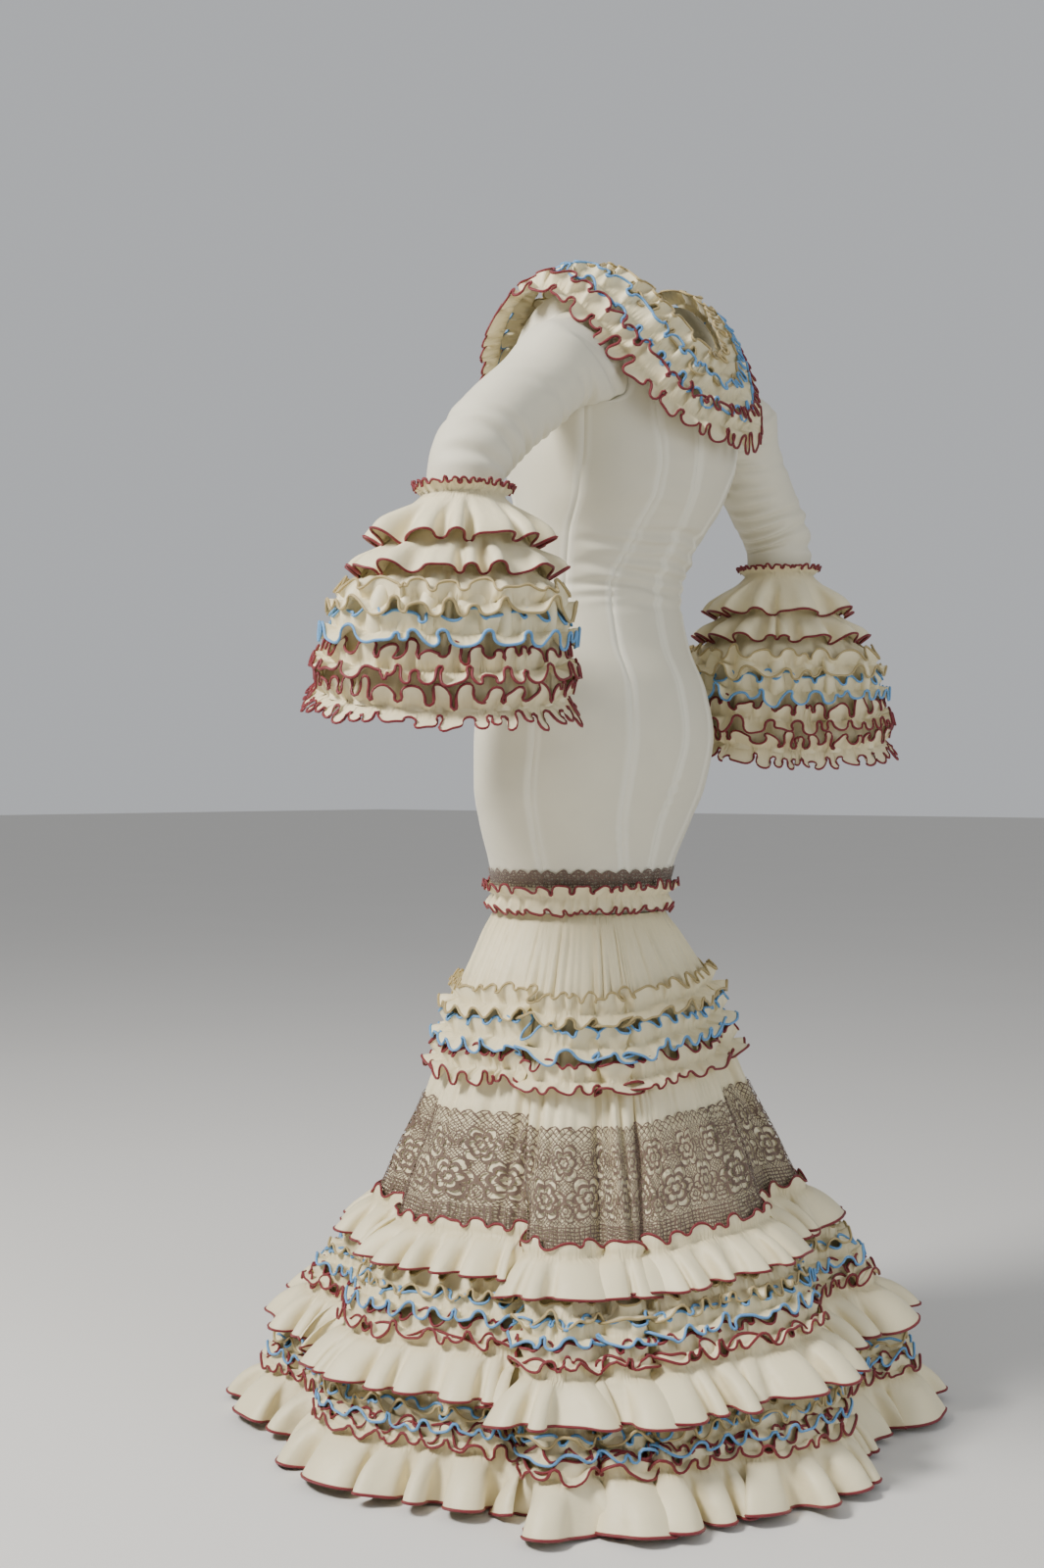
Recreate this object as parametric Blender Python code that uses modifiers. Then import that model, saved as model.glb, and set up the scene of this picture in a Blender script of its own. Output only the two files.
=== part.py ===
"""A full-length flamenco dress, hollow, in the pose in which it is worn.

Heights in the tables are metres above the hem. The dress faces -Y, its left side is +X, and
angles go round it from +X through +Y, so that 90 degrees is the centre back. A root empty at
the middle of the shoulder line carries every piece, and moves the whole dress so that the
world's origin lies there.

The body is a loft through level rings up to the underarm and through saddle-shaped rings
above it, cut into seven panels at its seams. The skirt is one fold rule shared by its tiers,
flounces, lace and ruches, each at its own distance from the cloth below it.
"""

import math

import bmesh
import bpy
from mathutils import Vector

# Driving sizes, in metres
CLOTH = 0.0016
SEAM_GAP = 0.0008
SHOULDER = (0.0, 0.075, 1.470)
KNEE_LINE = 0.671

# Body rings: height at the sides, back and front, half width, half depth, centre's y, how
# sharply the ring rises to the shoulder, half angle of the armhole, and the angles of the
# centre back, back princess, side and front princess seams (the right side mirrors the left).
BODY_COLUMNS = (
    "side_z", "back_z", "front_z", "half_width", "half_depth", "centre_y",
    "saddle", "armhole", "centre_back", "princess", "side", "front",
)
BODY_ROWS = (
    (0.672, 0.672, 0.672, 0.116, 0.112, -0.016, 2.0, 0, 90, 70, 20, 38),
    (0.736, 0.736, 0.736, 0.143, 0.117, -0.010, 2.0, 0, 90, 69, 19, 38),
    (0.791, 0.791, 0.791, 0.170, 0.127, -0.003, 2.0, 0, 89, 65, 18, 37),
    (0.845, 0.845, 0.845, 0.190, 0.137, 0.0065, 2.0, 0, 91, 64, 17, 36),
    (0.910, 0.910, 0.910, 0.193, 0.144, 0.0135, 2.0, 0, 93, 63, 17, 36),
    (0.972, 0.972, 0.972, 0.177, 0.136, 0.0150, 2.0, 0, 92, 62, 18, 37),
    (1.035, 1.035, 1.035, 0.148, 0.108, 0.0200, 2.0, 0, 89, 56, 19, 38),
    (1.105, 1.105, 1.105, 0.130, 0.095, 0.0240, 2.0, 0, 86, 51, 20, 38),
    (1.172, 1.172, 1.172, 0.142, 0.110, 0.0340, 2.0, 0, 85, 57, 20, 37),
    (1.226, 1.226, 1.226, 0.158, 0.132, 0.0520, 2.0, 0, 84, 64, 21, 37),
    (1.280, 1.280, 1.280, 0.170, 0.150, 0.0560, 2.0, 0, 84, 63, 23, 37),
    (1.335, 1.305, 1.305, 0.175, 0.152, 0.0560, 3.0, 0, 84, 61, 24, 38),
    (1.352, 1.314, 1.314, 0.177, 0.150, 0.0570, 3.0, 13, 84, 60, 24, 39),
    (1.376, 1.323, 1.326, 0.178, 0.148, 0.0580, 3.0, 19, 85, 59, 24, 40),
    (1.402, 1.333, 1.338, 0.178, 0.146, 0.0590, 3.0, 21, 85, 58, 24, 42),
    (1.428, 1.343, 1.350, 0.176, 0.143, 0.0610, 3.0, 19, 86, 57, 24, 44),
    (1.452, 1.353, 1.363, 0.171, 0.140, 0.0640, 2.8, 13, 87, 56, 24, 46),
    (1.470, 1.362, 1.377, 0.162, 0.136, 0.0680, 2.6, 0, 88, 55, 24, 48),
    (1.492, 1.376, 1.400, 0.125, 0.131, 0.0730, 2.3, 0, 89, 54, 24, 50),
    (1.507, 1.388, 1.420, 0.080, 0.125, 0.0780, 2.0, 0, 90, 53, 24, 52),
)
UNDERARM_ROW = 11
SHOULDER_ROW = 17

# Panels: name, its two seams in turn round the body, and how many strips make it.
PANELS = (
    ("panel_centre_back_left", "princess_left", "centre_back", 2),
    ("panel_centre_back_right", "centre_back", "princess_right", 2),
    ("panel_side_back_left", "side_left", "princess_left", 2),
    ("panel_side_back_right", "princess_right", "side_right", 2),
    ("panel_side_front_left", "front_left", "side_left", 3),
    ("panel_side_front_right", "side_right", "front_right", 3),
    ("panel_centre_front", "front_right", "front_left", 4),
)

# The middle of each sleeve: x away from the body, y, height and radius.
SLEEVE_PATHS = {
    "left": (
        (0.2150, 0.116, 1.366, 0.0560),
        (0.2547, 0.112, 1.330, 0.0515),
        (0.3134, 0.108, 1.286, 0.0490),
        (0.3510, 0.104, 1.2486, 0.0475),
        (0.3669, 0.102, 1.220, 0.0455),
        (0.3695, 0.100, 1.195, 0.0450),
    ),
    "right": (
        (0.2050, 0.110, 1.358, 0.0560),
        (0.2320, 0.106, 1.3155, 0.0515),
        (0.2720, 0.113, 1.250, 0.0490),
        (0.2950, 0.118, 1.2150, 0.0475),
        (0.3030, 0.120, 1.185, 0.0455),
        (0.3030, 0.120, 1.160, 0.0450),
    ),
}
# How far the sleeve's top ring stands off the armhole, and where the next ring lies on the way
# to the path's first point.
SLEEVE_START = 0.0024
SLEEVE_HEAD = 0.45
# Where the flounce's hem hangs from the sleeve's end: x away from the body, y, drop.
FLOUNCE_HANG = {"left": (0.020, -0.020, 0.262), "right": (0.057, -0.030, 0.268)}
# Sleeve flounce pieces: rows of drop from the sleeve's end and radius.
SLEEVE_PIECES = (
    ("tier_short", ((-0.008, 0.0545), (0.012, 0.0590), (0.064, 0.0900))),
    ("tier_middle", ((0.0015, 0.0500), (0.050, 0.0775), (0.100, 0.1090))),
    ("tier_long", ((0.0015, 0.0450), (0.060, 0.0780), (0.140, 0.1240), (0.252, 0.1420))),
)
# Sleeve ruches: drop of the gathering line, radius and half the strip's width.
SLEEVE_RUCHES = (
    ("ruche_beige", "beige", 0.142, 0.1290, 0.0135),
    ("ruche_blue", "blue", 0.172, 0.1340, 0.0135),
    ("ruche_red", "red", 0.202, 0.1385, 0.0135),
    ("hem_ruffle", "red", 0.240, 0.1440, 0.0200),
)
SLEEVE_RIPPLE = (0.00225, 0.01075)
SLEEVE_SLOPE = 0.2
SLEEVE_LOBES = 4
SLEEVE_SEGMENTS = 16
SLEEVE_FOLD = 0.055
SLEEVE_FOLDS_FULL = 0.14

# The skirt's cloth: height and radius.
SKIRT_PROFILE = (
    (0.000, 0.460), (0.050, 0.430), (0.100, 0.408), (0.150, 0.383), (0.205, 0.342),
    (0.265, 0.297), (0.350, 0.256), (0.410, 0.226), (0.467, 0.203), (0.560, 0.176),
    (0.620, 0.152), (0.655, 0.129), (0.671, 0.118),
)
# Its lobes and the folds between them, in turn: angle at the hem, angle at the lace, share of
# the profile's radius at the hem and at the lace, and how far the cloth is lifted there.
SKIRT_PLAN = (
    (-42, -50, 1.02, 0.98, 0.004), (-30, -38, 0.90, 0.86, 0.004), (-21, -31, 0.89, 0.86, 0.004),
    (-12, -24, 0.97, 0.95, 0.004), (-6, -16, 0.99, 0.95, 0.004), (12, 2, 0.935, 0.89, 0.008),
    (29, 20, 0.90, 0.86, 0.010), (32, 23.5, 1.02, 0.99, 0.000), (36, 32, 1.035, 1.01, 0.000),
    (49, 56, 0.985, 0.975, 0.003), (61, 68, 0.955, 0.96, 0.012), (68, 76, 1.00, 0.965, 0.014),
    (83, 92, 0.985, 0.95, 0.018), (89, 99, 0.88, 0.85, 0.020), (98, 106, 0.85, 0.84, 0.022),
    (110, 115, 0.89, 0.86, 0.024), (119, 122, 1.02, 0.98, 0.026), (132, 134, 0.97, 0.95, 0.024),
    (146, 147, 0.88, 0.86, 0.020), (162, 162, 1.00, 0.98, 0.012), (178, 178, 0.97, 0.96, 0.010),
    (194, 194, 0.88, 0.87, 0.007), (208, 208, 1.02, 1.00, 0.004), (222, 222, 0.97, 0.95, 0.002),
    (240, 239, 0.87, 0.86, 0.002), (254, 253, 1.01, 0.99, 0.004), (268, 266, 0.96, 0.95, 0.006),
    (281, 278, 0.89, 0.87, 0.006), (291, 288, 0.99, 0.98, 0.006), (306, 300, 0.94, 0.93, 0.005),
)
LACE_HEIGHT = 0.30
LEAN_END = 1.5
FOLDS_FULL = 0.40
FOLDS_GONE = 0.655
LIFT_FULL = 0.20
LIFT_FADE = 0.10
# Tiers and flounces: rows of height and distance from the profile.
UPPER_TIER = (
    (0.2625, 0.0), (0.410, 0.0), (0.467, 0.0), (0.560, 0.0), (0.640, 0.0), (0.6702, 0.0),
)
SKIRT_SHEETS = (
    ("skirt_tier_upper", "cream", UPPER_TIER),
    ("skirt_tier_middle", "cream", ((0.1525, 0.0), (0.2615, 0.0))),
    ("skirt_tier_lower", "cream", ((0.0450, 0.0), (0.1515, 0.0))),
    ("lace_band", "lace", ((0.2720, 0.0060), (0.410, 0.0050))),
    ("flounce_upper", "cream", ((0.2270, 0.0230), (0.2700, 0.0110))),
    ("flounce_middle", "cream", ((0.1060, 0.0230), (0.1530, 0.0100))),
    ("flounce_hem", "cream", ((0.0010, 0.0160), (0.0545, 0.0060))),
)
# Ruches: height of the gathering line and half the strip's width.
SKIRT_RUCHES = (
    ("skirt_ruche_beige_upper", "beige", 0.545, 0.019),
    ("skirt_ruche_blue_upper", "blue", 0.504, 0.019),
    ("skirt_ruche_red_upper", "red", 0.463, 0.019),
    ("skirt_ruche_beige_middle", "beige", 0.2140, 0.011),
    ("skirt_ruche_blue_middle", "blue", 0.1905, 0.011),
    ("skirt_ruche_red_middle", "red", 0.1660, 0.0110),
    ("skirt_ruche_beige_lower", "beige", 0.1010, 0.0085),
    ("skirt_ruche_blue_lower", "blue", 0.0825, 0.0085),
    ("skirt_ruche_red_lower", "red", 0.0645, 0.0080),
)
RUCHE_RIPPLE = (0.0045, 0.0130)

# Collar lines from the neck out: height at the sides, back and front, half width, half depth,
# centre's y, and how sharply the line rises to the shoulder.
COLLAR_LINES = (
    (1.514, 1.398, 1.430, 0.073, 0.121, 0.078, 2.0),
    (1.512, 1.362, 1.402, 0.118, 0.143, 0.071, 2.2),
    (1.494, 1.328, 1.372, 0.159, 0.159, 0.064, 2.6),
    (1.466, 1.292, 1.342, 0.196, 0.168, 0.058, 3.2),
)
COLLAR_SEGMENTS = 24
COLLAR_RUCHES = ("beige", "blue", "red")
COLLAR_START = 0.10
COLLAR_RIPPLE = (0.006, 0.012)

ZIP_SLIDER = (0.005, 0.0016, 0.016)
ZIP_SLIDER_DROP = 0.028
ZIP_SLIDER_OUT = 0.0034
ZIP_SLIDER_BEVEL = 0.0006

# Knee trims on the body: height below and above, and distance from it.
KNEE_TRIMS = (
    ("knee_ruche", "red", 0.6740, 0.7200, 0.0040, 0.0120),
    ("knee_lace", "lace", 0.7225, 0.7420, 0.0030, 0.0030),
)
KNEE_SEGMENTS = 28

ROUGHNESS = 0.65
COLOURS = {
    "crepe": (0.80, 0.79, 0.76),
    "cream": (0.83, 0.78, 0.64),
    "beige": (0.72, 0.62, 0.40),
    "blue": (0.30, 0.50, 0.75),
    "red": (0.30, 0.05, 0.06),
    "lace": (0.36, 0.31, 0.28),
    "zip": (0.78, 0.77, 0.72),
}


def polar(angle):
    """The cosine and sine of an angle in degrees."""
    return math.cos(math.radians(angle)), math.sin(math.radians(angle))


def lookup(table, key):
    """The value for key in a table of (key, value) rows in rising order, on straight lines."""
    for (low, first), (high, last) in zip(table, table[1:]):
        if key <= high:
            return first + (last - first) * max(key - low, 0.0) / (high - low)
    return table[-1][1]


def ring_point(angle, side_z, back_z, front_z, half_width, half_depth, centre_y, saddle):
    """A point on a closed line round the body that rises from back and front to the sides."""
    across, along = polar(angle)
    low = back_z if along > 0 else front_z
    height = low + (side_z - low) * abs(across) ** saddle
    return Vector((half_width * across, centre_y + half_depth * along, height))


def body_row(index):
    """One row of the body table, by the names of its columns."""
    return dict(zip(BODY_COLUMNS, BODY_ROWS[index]))


def body_point(index, angle):
    """A point of one of the body's rings."""
    return ring_point(angle, *BODY_ROWS[index][:7])


def seam_angle(row, seam, towards):
    """The angle of a named seam, moved off it by half the seam gap towards +1 or -1.

    The side seam opens into the armhole between the underarm and the shoulder.
    """
    name, hand = seam.rsplit("_", 1) if seam != "centre_back" else (seam, "")
    angle = -row["front"] if name == "front" else row[name]
    opening = row["armhole"] if name == "side" else 0.0
    off = math.degrees(SEAM_GAP / 2 / row["half_width"]) + opening
    if hand == "right":
        angle = 180 - angle
    return angle + towards * off


def add_piece(root, name, look, mesh):
    """An object for the mesh, carried by the root, with a material of its own."""
    material = bpy.data.materials.new(name)
    material.use_nodes = True
    shader = material.node_tree.nodes["Principled BSDF"]
    shader.inputs["Base Color"].default_value = (*COLOURS[look], 1.0)
    shader.inputs["Roughness"].default_value = ROUGHNESS
    shader.inputs["Metallic"].default_value = 0.0
    mesh.materials.append(material)
    piece = bpy.data.objects.new(name, mesh)
    root.users_collection[0].objects.link(piece)
    piece.parent = root
    return piece


def sheet(root, name, look, rows, ring=True):
    """Cloth through rows of points, as an open surface that Solidify thickens both ways."""
    count = len(rows[0])
    faces = []
    for low in range(0, count * (len(rows) - 1), count):
        for column in range(count if ring else count - 1):
            beside = (column + 1) % count
            faces.append((low + column, low + beside, low + count + beside, low + count + column))
    mesh = bpy.data.meshes.new(name)
    mesh.from_pydata([point for row in rows for point in row], [], faces)
    mesh.shade_smooth()
    piece = add_piece(root, name, look, mesh)
    wall = piece.modifiers.new("cloth", "SOLIDIFY")
    wall.thickness = CLOTH
    wall.offset = 0.0


def between(start, end, share):
    """The value or point at a share of the way from start to end."""
    return start + (end - start) * share


def body_panels(root):
    """Each panel runs from the knee line to the neck between two seams."""
    for name, first, last, strips in PANELS:
        rows = []
        for index in range(len(BODY_ROWS)):
            row = body_row(index)
            start = seam_angle(row, first, 1)
            end = seam_angle(row, last, -1)
            if end < start:
                end += 360
            angles = [between(start, end, step / strips) for step in range(strips + 1)]
            rows.append([body_point(index, angle) for angle in angles])
        sheet(root, name, "crepe", rows, ring=False)


def armhole_ring(hand):
    """The armhole's edge: up its back from the underarm, over the shoulder, down its front."""
    back, front = [], []
    for index in range(UNDERARM_ROW, SHOULDER_ROW + 1):
        row = body_row(index)
        middle = row["side"] if hand == "left" else 180 - row["side"]
        away = 1 if hand == "left" else -1
        back.append(body_point(index, middle + away * row["armhole"]))
        front.append(body_point(index, middle - away * row["armhole"]))
    return back + front[-2:0:-1]


def sleeves(root):
    """Each sleeve starts at the armhole's edge and follows the bent arm to below the elbow.

    The ring's upward direction is carried along the path, so that the cloth doesn't twist.
    """
    for hand, side in (("left", 1), ("right", -1)):
        edge = armhole_ring(hand)
        path = [Vector((side * x, y, z)) for x, y, z, _ in SLEEVE_PATHS[hand]]
        radii = [row[3] for row in SLEEVE_PATHS[hand]]
        start = sum(edge, Vector()) / len(edge)
        outward = Vector((side, 0.0, 0.0))
        rows = [[point + outward * SLEEVE_START for point in edge]]
        up = edge[len(edge) // 2] - edge[0]
        for index, centre in enumerate(path):
            before = path[index - 1] if index else start
            after = path[index + 1] if index + 1 < len(path) else centre
            along = (after - before).normalized()
            if index + 1 == len(path):
                along = Vector((0.0, 0.0, -1.0))
            up = (up - along * up.dot(along)).normalized()
            back = up.cross(along) * side
            circle = []
            for step in range(len(edge)):
                across, turn = polar(360 * step / len(edge))
                circle.append(centre + (back * turn - up * across) * radii[index])
            rows.append(circle)
        rows.insert(1, [between(a, b, SLEEVE_HEAD) for a, b in zip(rows[0], rows[1])])
        sheet(root, "sleeve_" + hand, "crepe", rows)


def flounce_point(hand, angle, drop, radius):
    """A point of a sleeve flounce, hanging from the sleeve's end on a leaning axis."""
    side = 1 if hand == "left" else -1
    end = SLEEVE_PATHS[hand][-1]
    lean_x, lean_y, length = FLOUNCE_HANG[hand]
    share = max(drop, 0.0) / length
    depth = SLEEVE_FOLD * min(max(drop, 0.0) / SLEEVE_FOLDS_FULL, 1.0)
    swing = 1 + depth * math.cos(math.radians(SLEEVE_LOBES * angle))
    across, along = polar(angle)
    return Vector((
        side * (end[0] + lean_x * share) + radius * swing * across,
        end[1] + lean_y * share + radius * swing * along,
        end[2] - drop,
    ))


def sleeve_flounces(root):
    """Three nested tiers on each sleeve, with ruches and a hem ruffle on the longest."""
    angles = [360 * step / SLEEVE_SEGMENTS for step in range(SLEEVE_SEGMENTS)]
    for hand in ("left", "right"):
        for name, profile in SLEEVE_PIECES:
            rows = []
            for drop, radius in reversed(profile):
                rows.append([flounce_point(hand, angle, drop, radius) for angle in angles])
            sheet(root, f"sleeve_{hand}_{name}", "cream", rows)
        for name, look, middle, radius, half in SLEEVE_RUCHES:
            rows = []
            for way in (1, -1):
                row = []
                for step, angle in enumerate(angles):
                    out = SLEEVE_RIPPLE[(step + (way > 0)) % 2] + way * half * SLEEVE_SLOPE
                    row.append(flounce_point(hand, angle, middle + way * half, radius + out))
                rows.append(row)
            sheet(root, f"sleeve_{hand}_{name}", look, rows)


def clamp(value):
    return min(max(value, 0.0), 1.0)


def skirt_point(plan, height, out):
    """A point of the skirt where a row of the plan meets a height, moved out by out.

    The folds lean as they rise from the hem to the lace, and fade out below the knee.
    """
    hem_angle, lace_angle, hem_share, lace_share, lift = plan
    rise = height / LACE_HEIGHT
    angle = between(hem_angle, lace_angle, min(rise, LEAN_END))
    share = between(hem_share, lace_share, min(rise, 1.0))
    share = between(1, share, clamp((FOLDS_GONE - height) / (FOLDS_GONE - FOLDS_FULL)))
    radius = lookup(SKIRT_PROFILE, height) * share + out
    level = clamp(height / LIFT_FULL) * clamp((FOLDS_GONE - height) / LIFT_FADE)
    centre_y = BODY_ROWS[0][5] * clamp((height - LACE_HEIGHT) / (KNEE_LINE - LACE_HEIGHT))
    across, along = polar(angle)
    return Vector((radius * across, centre_y + radius * along, height + lift * level))


def skirt(root):
    """The skirt's tiers, lace, flounces and ruches, all on the same folds."""
    for name, look, profile in SKIRT_SHEETS:
        rows = [[skirt_point(plan, height, out) for plan in SKIRT_PLAN] for height, out in profile]
        sheet(root, name, look, rows)
    for name, look, height, half in SKIRT_RUCHES:
        rows = []
        for way in (-1, 1):
            row = []
            for step, plan in enumerate(SKIRT_PLAN):
                out = RUCHE_RIPPLE[(step + (way > 0)) % 2]
                row.append(skirt_point(plan, height + way * half, out))
            rows.append(row)
        sheet(root, name, look, rows)


def collar(root):
    """Three ruches round the neck, each between two lines and rippled along its edges."""
    angles = [360 * step / COLLAR_SEGMENTS for step in range(COLLAR_SEGMENTS)]
    for look, inner, outer in zip(COLLAR_RUCHES, COLLAR_LINES, COLLAR_LINES[1:]):
        edges = []
        for line, phase in ((outer, 0), (inner, 1)):
            edge = []
            for step, angle in enumerate(angles):
                across, along = polar(angle)
                lift = COLLAR_RIPPLE[(step + phase) % 2]
                edge.append(ring_point(angle, *line) + Vector((across, along, 1.0)) * lift)
            edges.append(edge)
        start = [between(*pair, COLLAR_START) for pair in zip(*edges)]
        sheet(root, "collar_ruche_" + look, look, [start, edges[1]])


def knee_trims(root):
    """The lace edging and the ruche at the bottom of the body."""
    angles = [360 * step / KNEE_SEGMENTS for step in range(KNEE_SEGMENTS)]
    for name, look, low, high, near, far in KNEE_TRIMS:
        rows = []
        for height, phase in ((low, 0), (high, 1)):
            share = (height - BODY_ROWS[0][0]) / (BODY_ROWS[1][0] - BODY_ROWS[0][0])
            row = []
            for step, angle in enumerate(angles):
                point = body_point(0, angle).lerp(body_point(1, angle), share)
                across, along = polar(angle)
                out = far if (step + phase) % 2 else near
                row.append(point + Vector((across, along, 0.0)) * (out + CLOTH))
            rows.append(row)
        sheet(root, name, look, rows)


def zip_slider(root):
    """The flat pull of the closed back zip, hanging just below the neckline."""
    neck = body_row(len(BODY_ROWS) - 1)
    across, _ = polar(neck["centre_back"])
    across *= neck["half_width"]
    bm = bmesh.new()
    bmesh.ops.create_cube(bm, size=1.0)
    bmesh.ops.scale(bm, vec=ZIP_SLIDER, verts=bm.verts)
    mesh = bpy.data.meshes.new("zip_slider")
    bm.to_mesh(mesh)
    bm.free()
    piece = add_piece(root, "zip_slider", "zip", mesh)
    back = neck["centre_y"] + neck["half_depth"] + ZIP_SLIDER_OUT + ZIP_SLIDER[1] / 2
    piece.location = (across, back, neck["back_z"] - ZIP_SLIDER_DROP)
    edge = piece.modifiers.new("edges", "BEVEL")
    edge.width = ZIP_SLIDER_BEVEL
    edge.segments = 2


def main():
    """Clears the scene, then builds every piece under the root."""
    for item in list(bpy.data.objects):
        bpy.data.objects.remove(item)
    collection = bpy.data.collections.new("flamenco_dress")
    bpy.context.scene.collection.children.link(collection)
    root = bpy.data.objects.new("root", None)
    root.location = [-value for value in SHOULDER]
    collection.objects.link(root)
    body_panels(root)
    sleeves(root)
    sleeve_flounces(root)
    skirt(root)
    collar(root)
    knee_trims(root)
    zip_slider(root)


main()
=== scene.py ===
"""The looks of a full-length flamenco dress: cloth, gathered frills, corded edges and lace.

Heights in the tables are metres above the hem. The dress faces -Y, its left side is +X, and
angles go round it from +X through +Y. Every surface is worked out in those measures, and
SHOULDER is taken off at the end, because the origin lies between the shoulders.
"""

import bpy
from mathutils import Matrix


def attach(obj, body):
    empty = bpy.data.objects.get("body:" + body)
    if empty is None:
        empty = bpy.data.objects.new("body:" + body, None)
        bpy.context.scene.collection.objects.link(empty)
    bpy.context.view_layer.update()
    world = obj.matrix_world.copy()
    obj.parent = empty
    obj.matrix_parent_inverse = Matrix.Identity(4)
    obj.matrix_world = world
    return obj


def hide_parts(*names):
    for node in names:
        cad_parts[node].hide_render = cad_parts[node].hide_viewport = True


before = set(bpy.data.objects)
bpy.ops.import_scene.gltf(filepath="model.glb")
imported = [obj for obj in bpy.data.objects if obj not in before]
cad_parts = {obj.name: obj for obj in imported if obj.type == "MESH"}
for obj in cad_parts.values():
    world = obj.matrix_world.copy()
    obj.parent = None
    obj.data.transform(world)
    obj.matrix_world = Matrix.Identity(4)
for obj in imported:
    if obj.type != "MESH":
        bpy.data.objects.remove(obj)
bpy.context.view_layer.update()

import math

import bmesh
import bpy
import numpy as np
from bpy.props import FloatProperty, FloatVectorProperty, PointerProperty
from mathutils import Vector

bl_info = {
    "name": "Flamenco dress",
    "version": (1, 0, 0),
    "blender": (4, 5, 0),
    "location": "View3D > Sidebar > Dress",
    "description": "Fitted body, gathered skirt and cuffs, corded ruches and a lace band",
    "category": "Mesh",
}

SHOULDER = np.array((0.0, 0.075, 1.470))
KNEE_LINE = 0.671
CLOTH = 0.0016

# Body rings: height at the sides, back and front, half width, half depth, centre's y, how
# sharply the ring rises to the shoulder, half angle of the armhole, and the angles of the
# centre back, back princess, side and front princess seams (the right side mirrors the left).
BODY_ROWS = (
    (0.672, 0.672, 0.672, 0.116, 0.112, -0.016, 2.0, 0, 90, 70, 20, 38),
    (0.736, 0.736, 0.736, 0.143, 0.117, -0.010, 2.0, 0, 90, 69, 19, 38),
    (0.791, 0.791, 0.791, 0.170, 0.127, -0.003, 2.0, 0, 89, 65, 18, 37),
    (0.845, 0.845, 0.845, 0.190, 0.137, 0.0065, 2.0, 0, 91, 64, 17, 36),
    (0.910, 0.910, 0.910, 0.193, 0.144, 0.0135, 2.0, 0, 93, 63, 17, 36),
    (0.972, 0.972, 0.972, 0.177, 0.136, 0.0150, 2.0, 0, 92, 62, 18, 37),
    (1.035, 1.035, 1.035, 0.148, 0.108, 0.0200, 2.0, 0, 90, 57, 19, 38),
    (1.105, 1.105, 1.105, 0.130, 0.095, 0.0240, 2.0, 0, 89, 53, 20, 38),
    (1.172, 1.172, 1.172, 0.142, 0.110, 0.0340, 2.0, 0, 91, 62, 20, 37),
    (1.226, 1.226, 1.226, 0.158, 0.132, 0.0520, 2.0, 0, 86, 63, 21, 37),
    (1.280, 1.280, 1.280, 0.170, 0.150, 0.0560, 2.0, 0, 81, 60, 23, 37),
    (1.335, 1.305, 1.305, 0.175, 0.152, 0.0560, 3.0, 0, 80, 58, 24, 38),
    (1.352, 1.314, 1.314, 0.177, 0.150, 0.0570, 3.0, 13, 81, 58, 24, 39),
    (1.376, 1.323, 1.326, 0.178, 0.148, 0.0580, 3.0, 19, 83, 58, 24, 40),
    (1.402, 1.333, 1.338, 0.178, 0.146, 0.0590, 3.0, 21, 85, 58, 24, 42),
    (1.428, 1.343, 1.350, 0.176, 0.143, 0.0610, 3.0, 19, 86, 57, 24, 44),
    (1.452, 1.353, 1.363, 0.171, 0.140, 0.0640, 2.8, 13, 87, 56, 24, 46),
    (1.470, 1.362, 1.377, 0.162, 0.136, 0.0680, 2.6, 0, 88, 55, 24, 48),
    (1.492, 1.376, 1.400, 0.125, 0.131, 0.0730, 2.3, 0, 89, 54, 24, 50),
    (1.507, 1.388, 1.420, 0.080, 0.125, 0.0780, 2.0, 0, 90, 53, 24, 52),
)
# The ring's height goes from the back's to the front's where |sine| is under this.
TURN_SHARE = 0.15
CENTRE_BACK, PRINCESS, SIDE, FRONT, ARMHOLE = 8, 9, 10, 11, 7
UNDERARM_ROW, SHOULDER_ROW = 11, 17
# Panels: name, first and last seam (a column, and 1 for the left side or -1 for the right),
# and the columns of cloth across.
PANELS = (
    ("panel_centre_back_left", (PRINCESS, 1), (CENTRE_BACK, 0), 20),
    ("panel_centre_back_right", (CENTRE_BACK, 0), (PRINCESS, -1), 20),
    ("panel_side_back_left", (SIDE, 1), (PRINCESS, 1), 26),
    ("panel_side_back_right", (PRINCESS, -1), (SIDE, -1), 26),
    ("panel_side_front_left", (FRONT, 1), (SIDE, 1), 28),
    ("panel_side_front_right", (SIDE, -1), (FRONT, -1), 28),
    ("panel_centre_front", (FRONT, -1), (FRONT, 1), 44),
)
PANEL_ROWS, LEVEL_STEPS = 240, 2001
# Rows lie closer between these heights, where the creases are: start, full, last full and end.
CLOSE_ROWS, CLOSE_SHARE = (1.06, 1.08, 1.28, 1.30), 1.6
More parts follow.
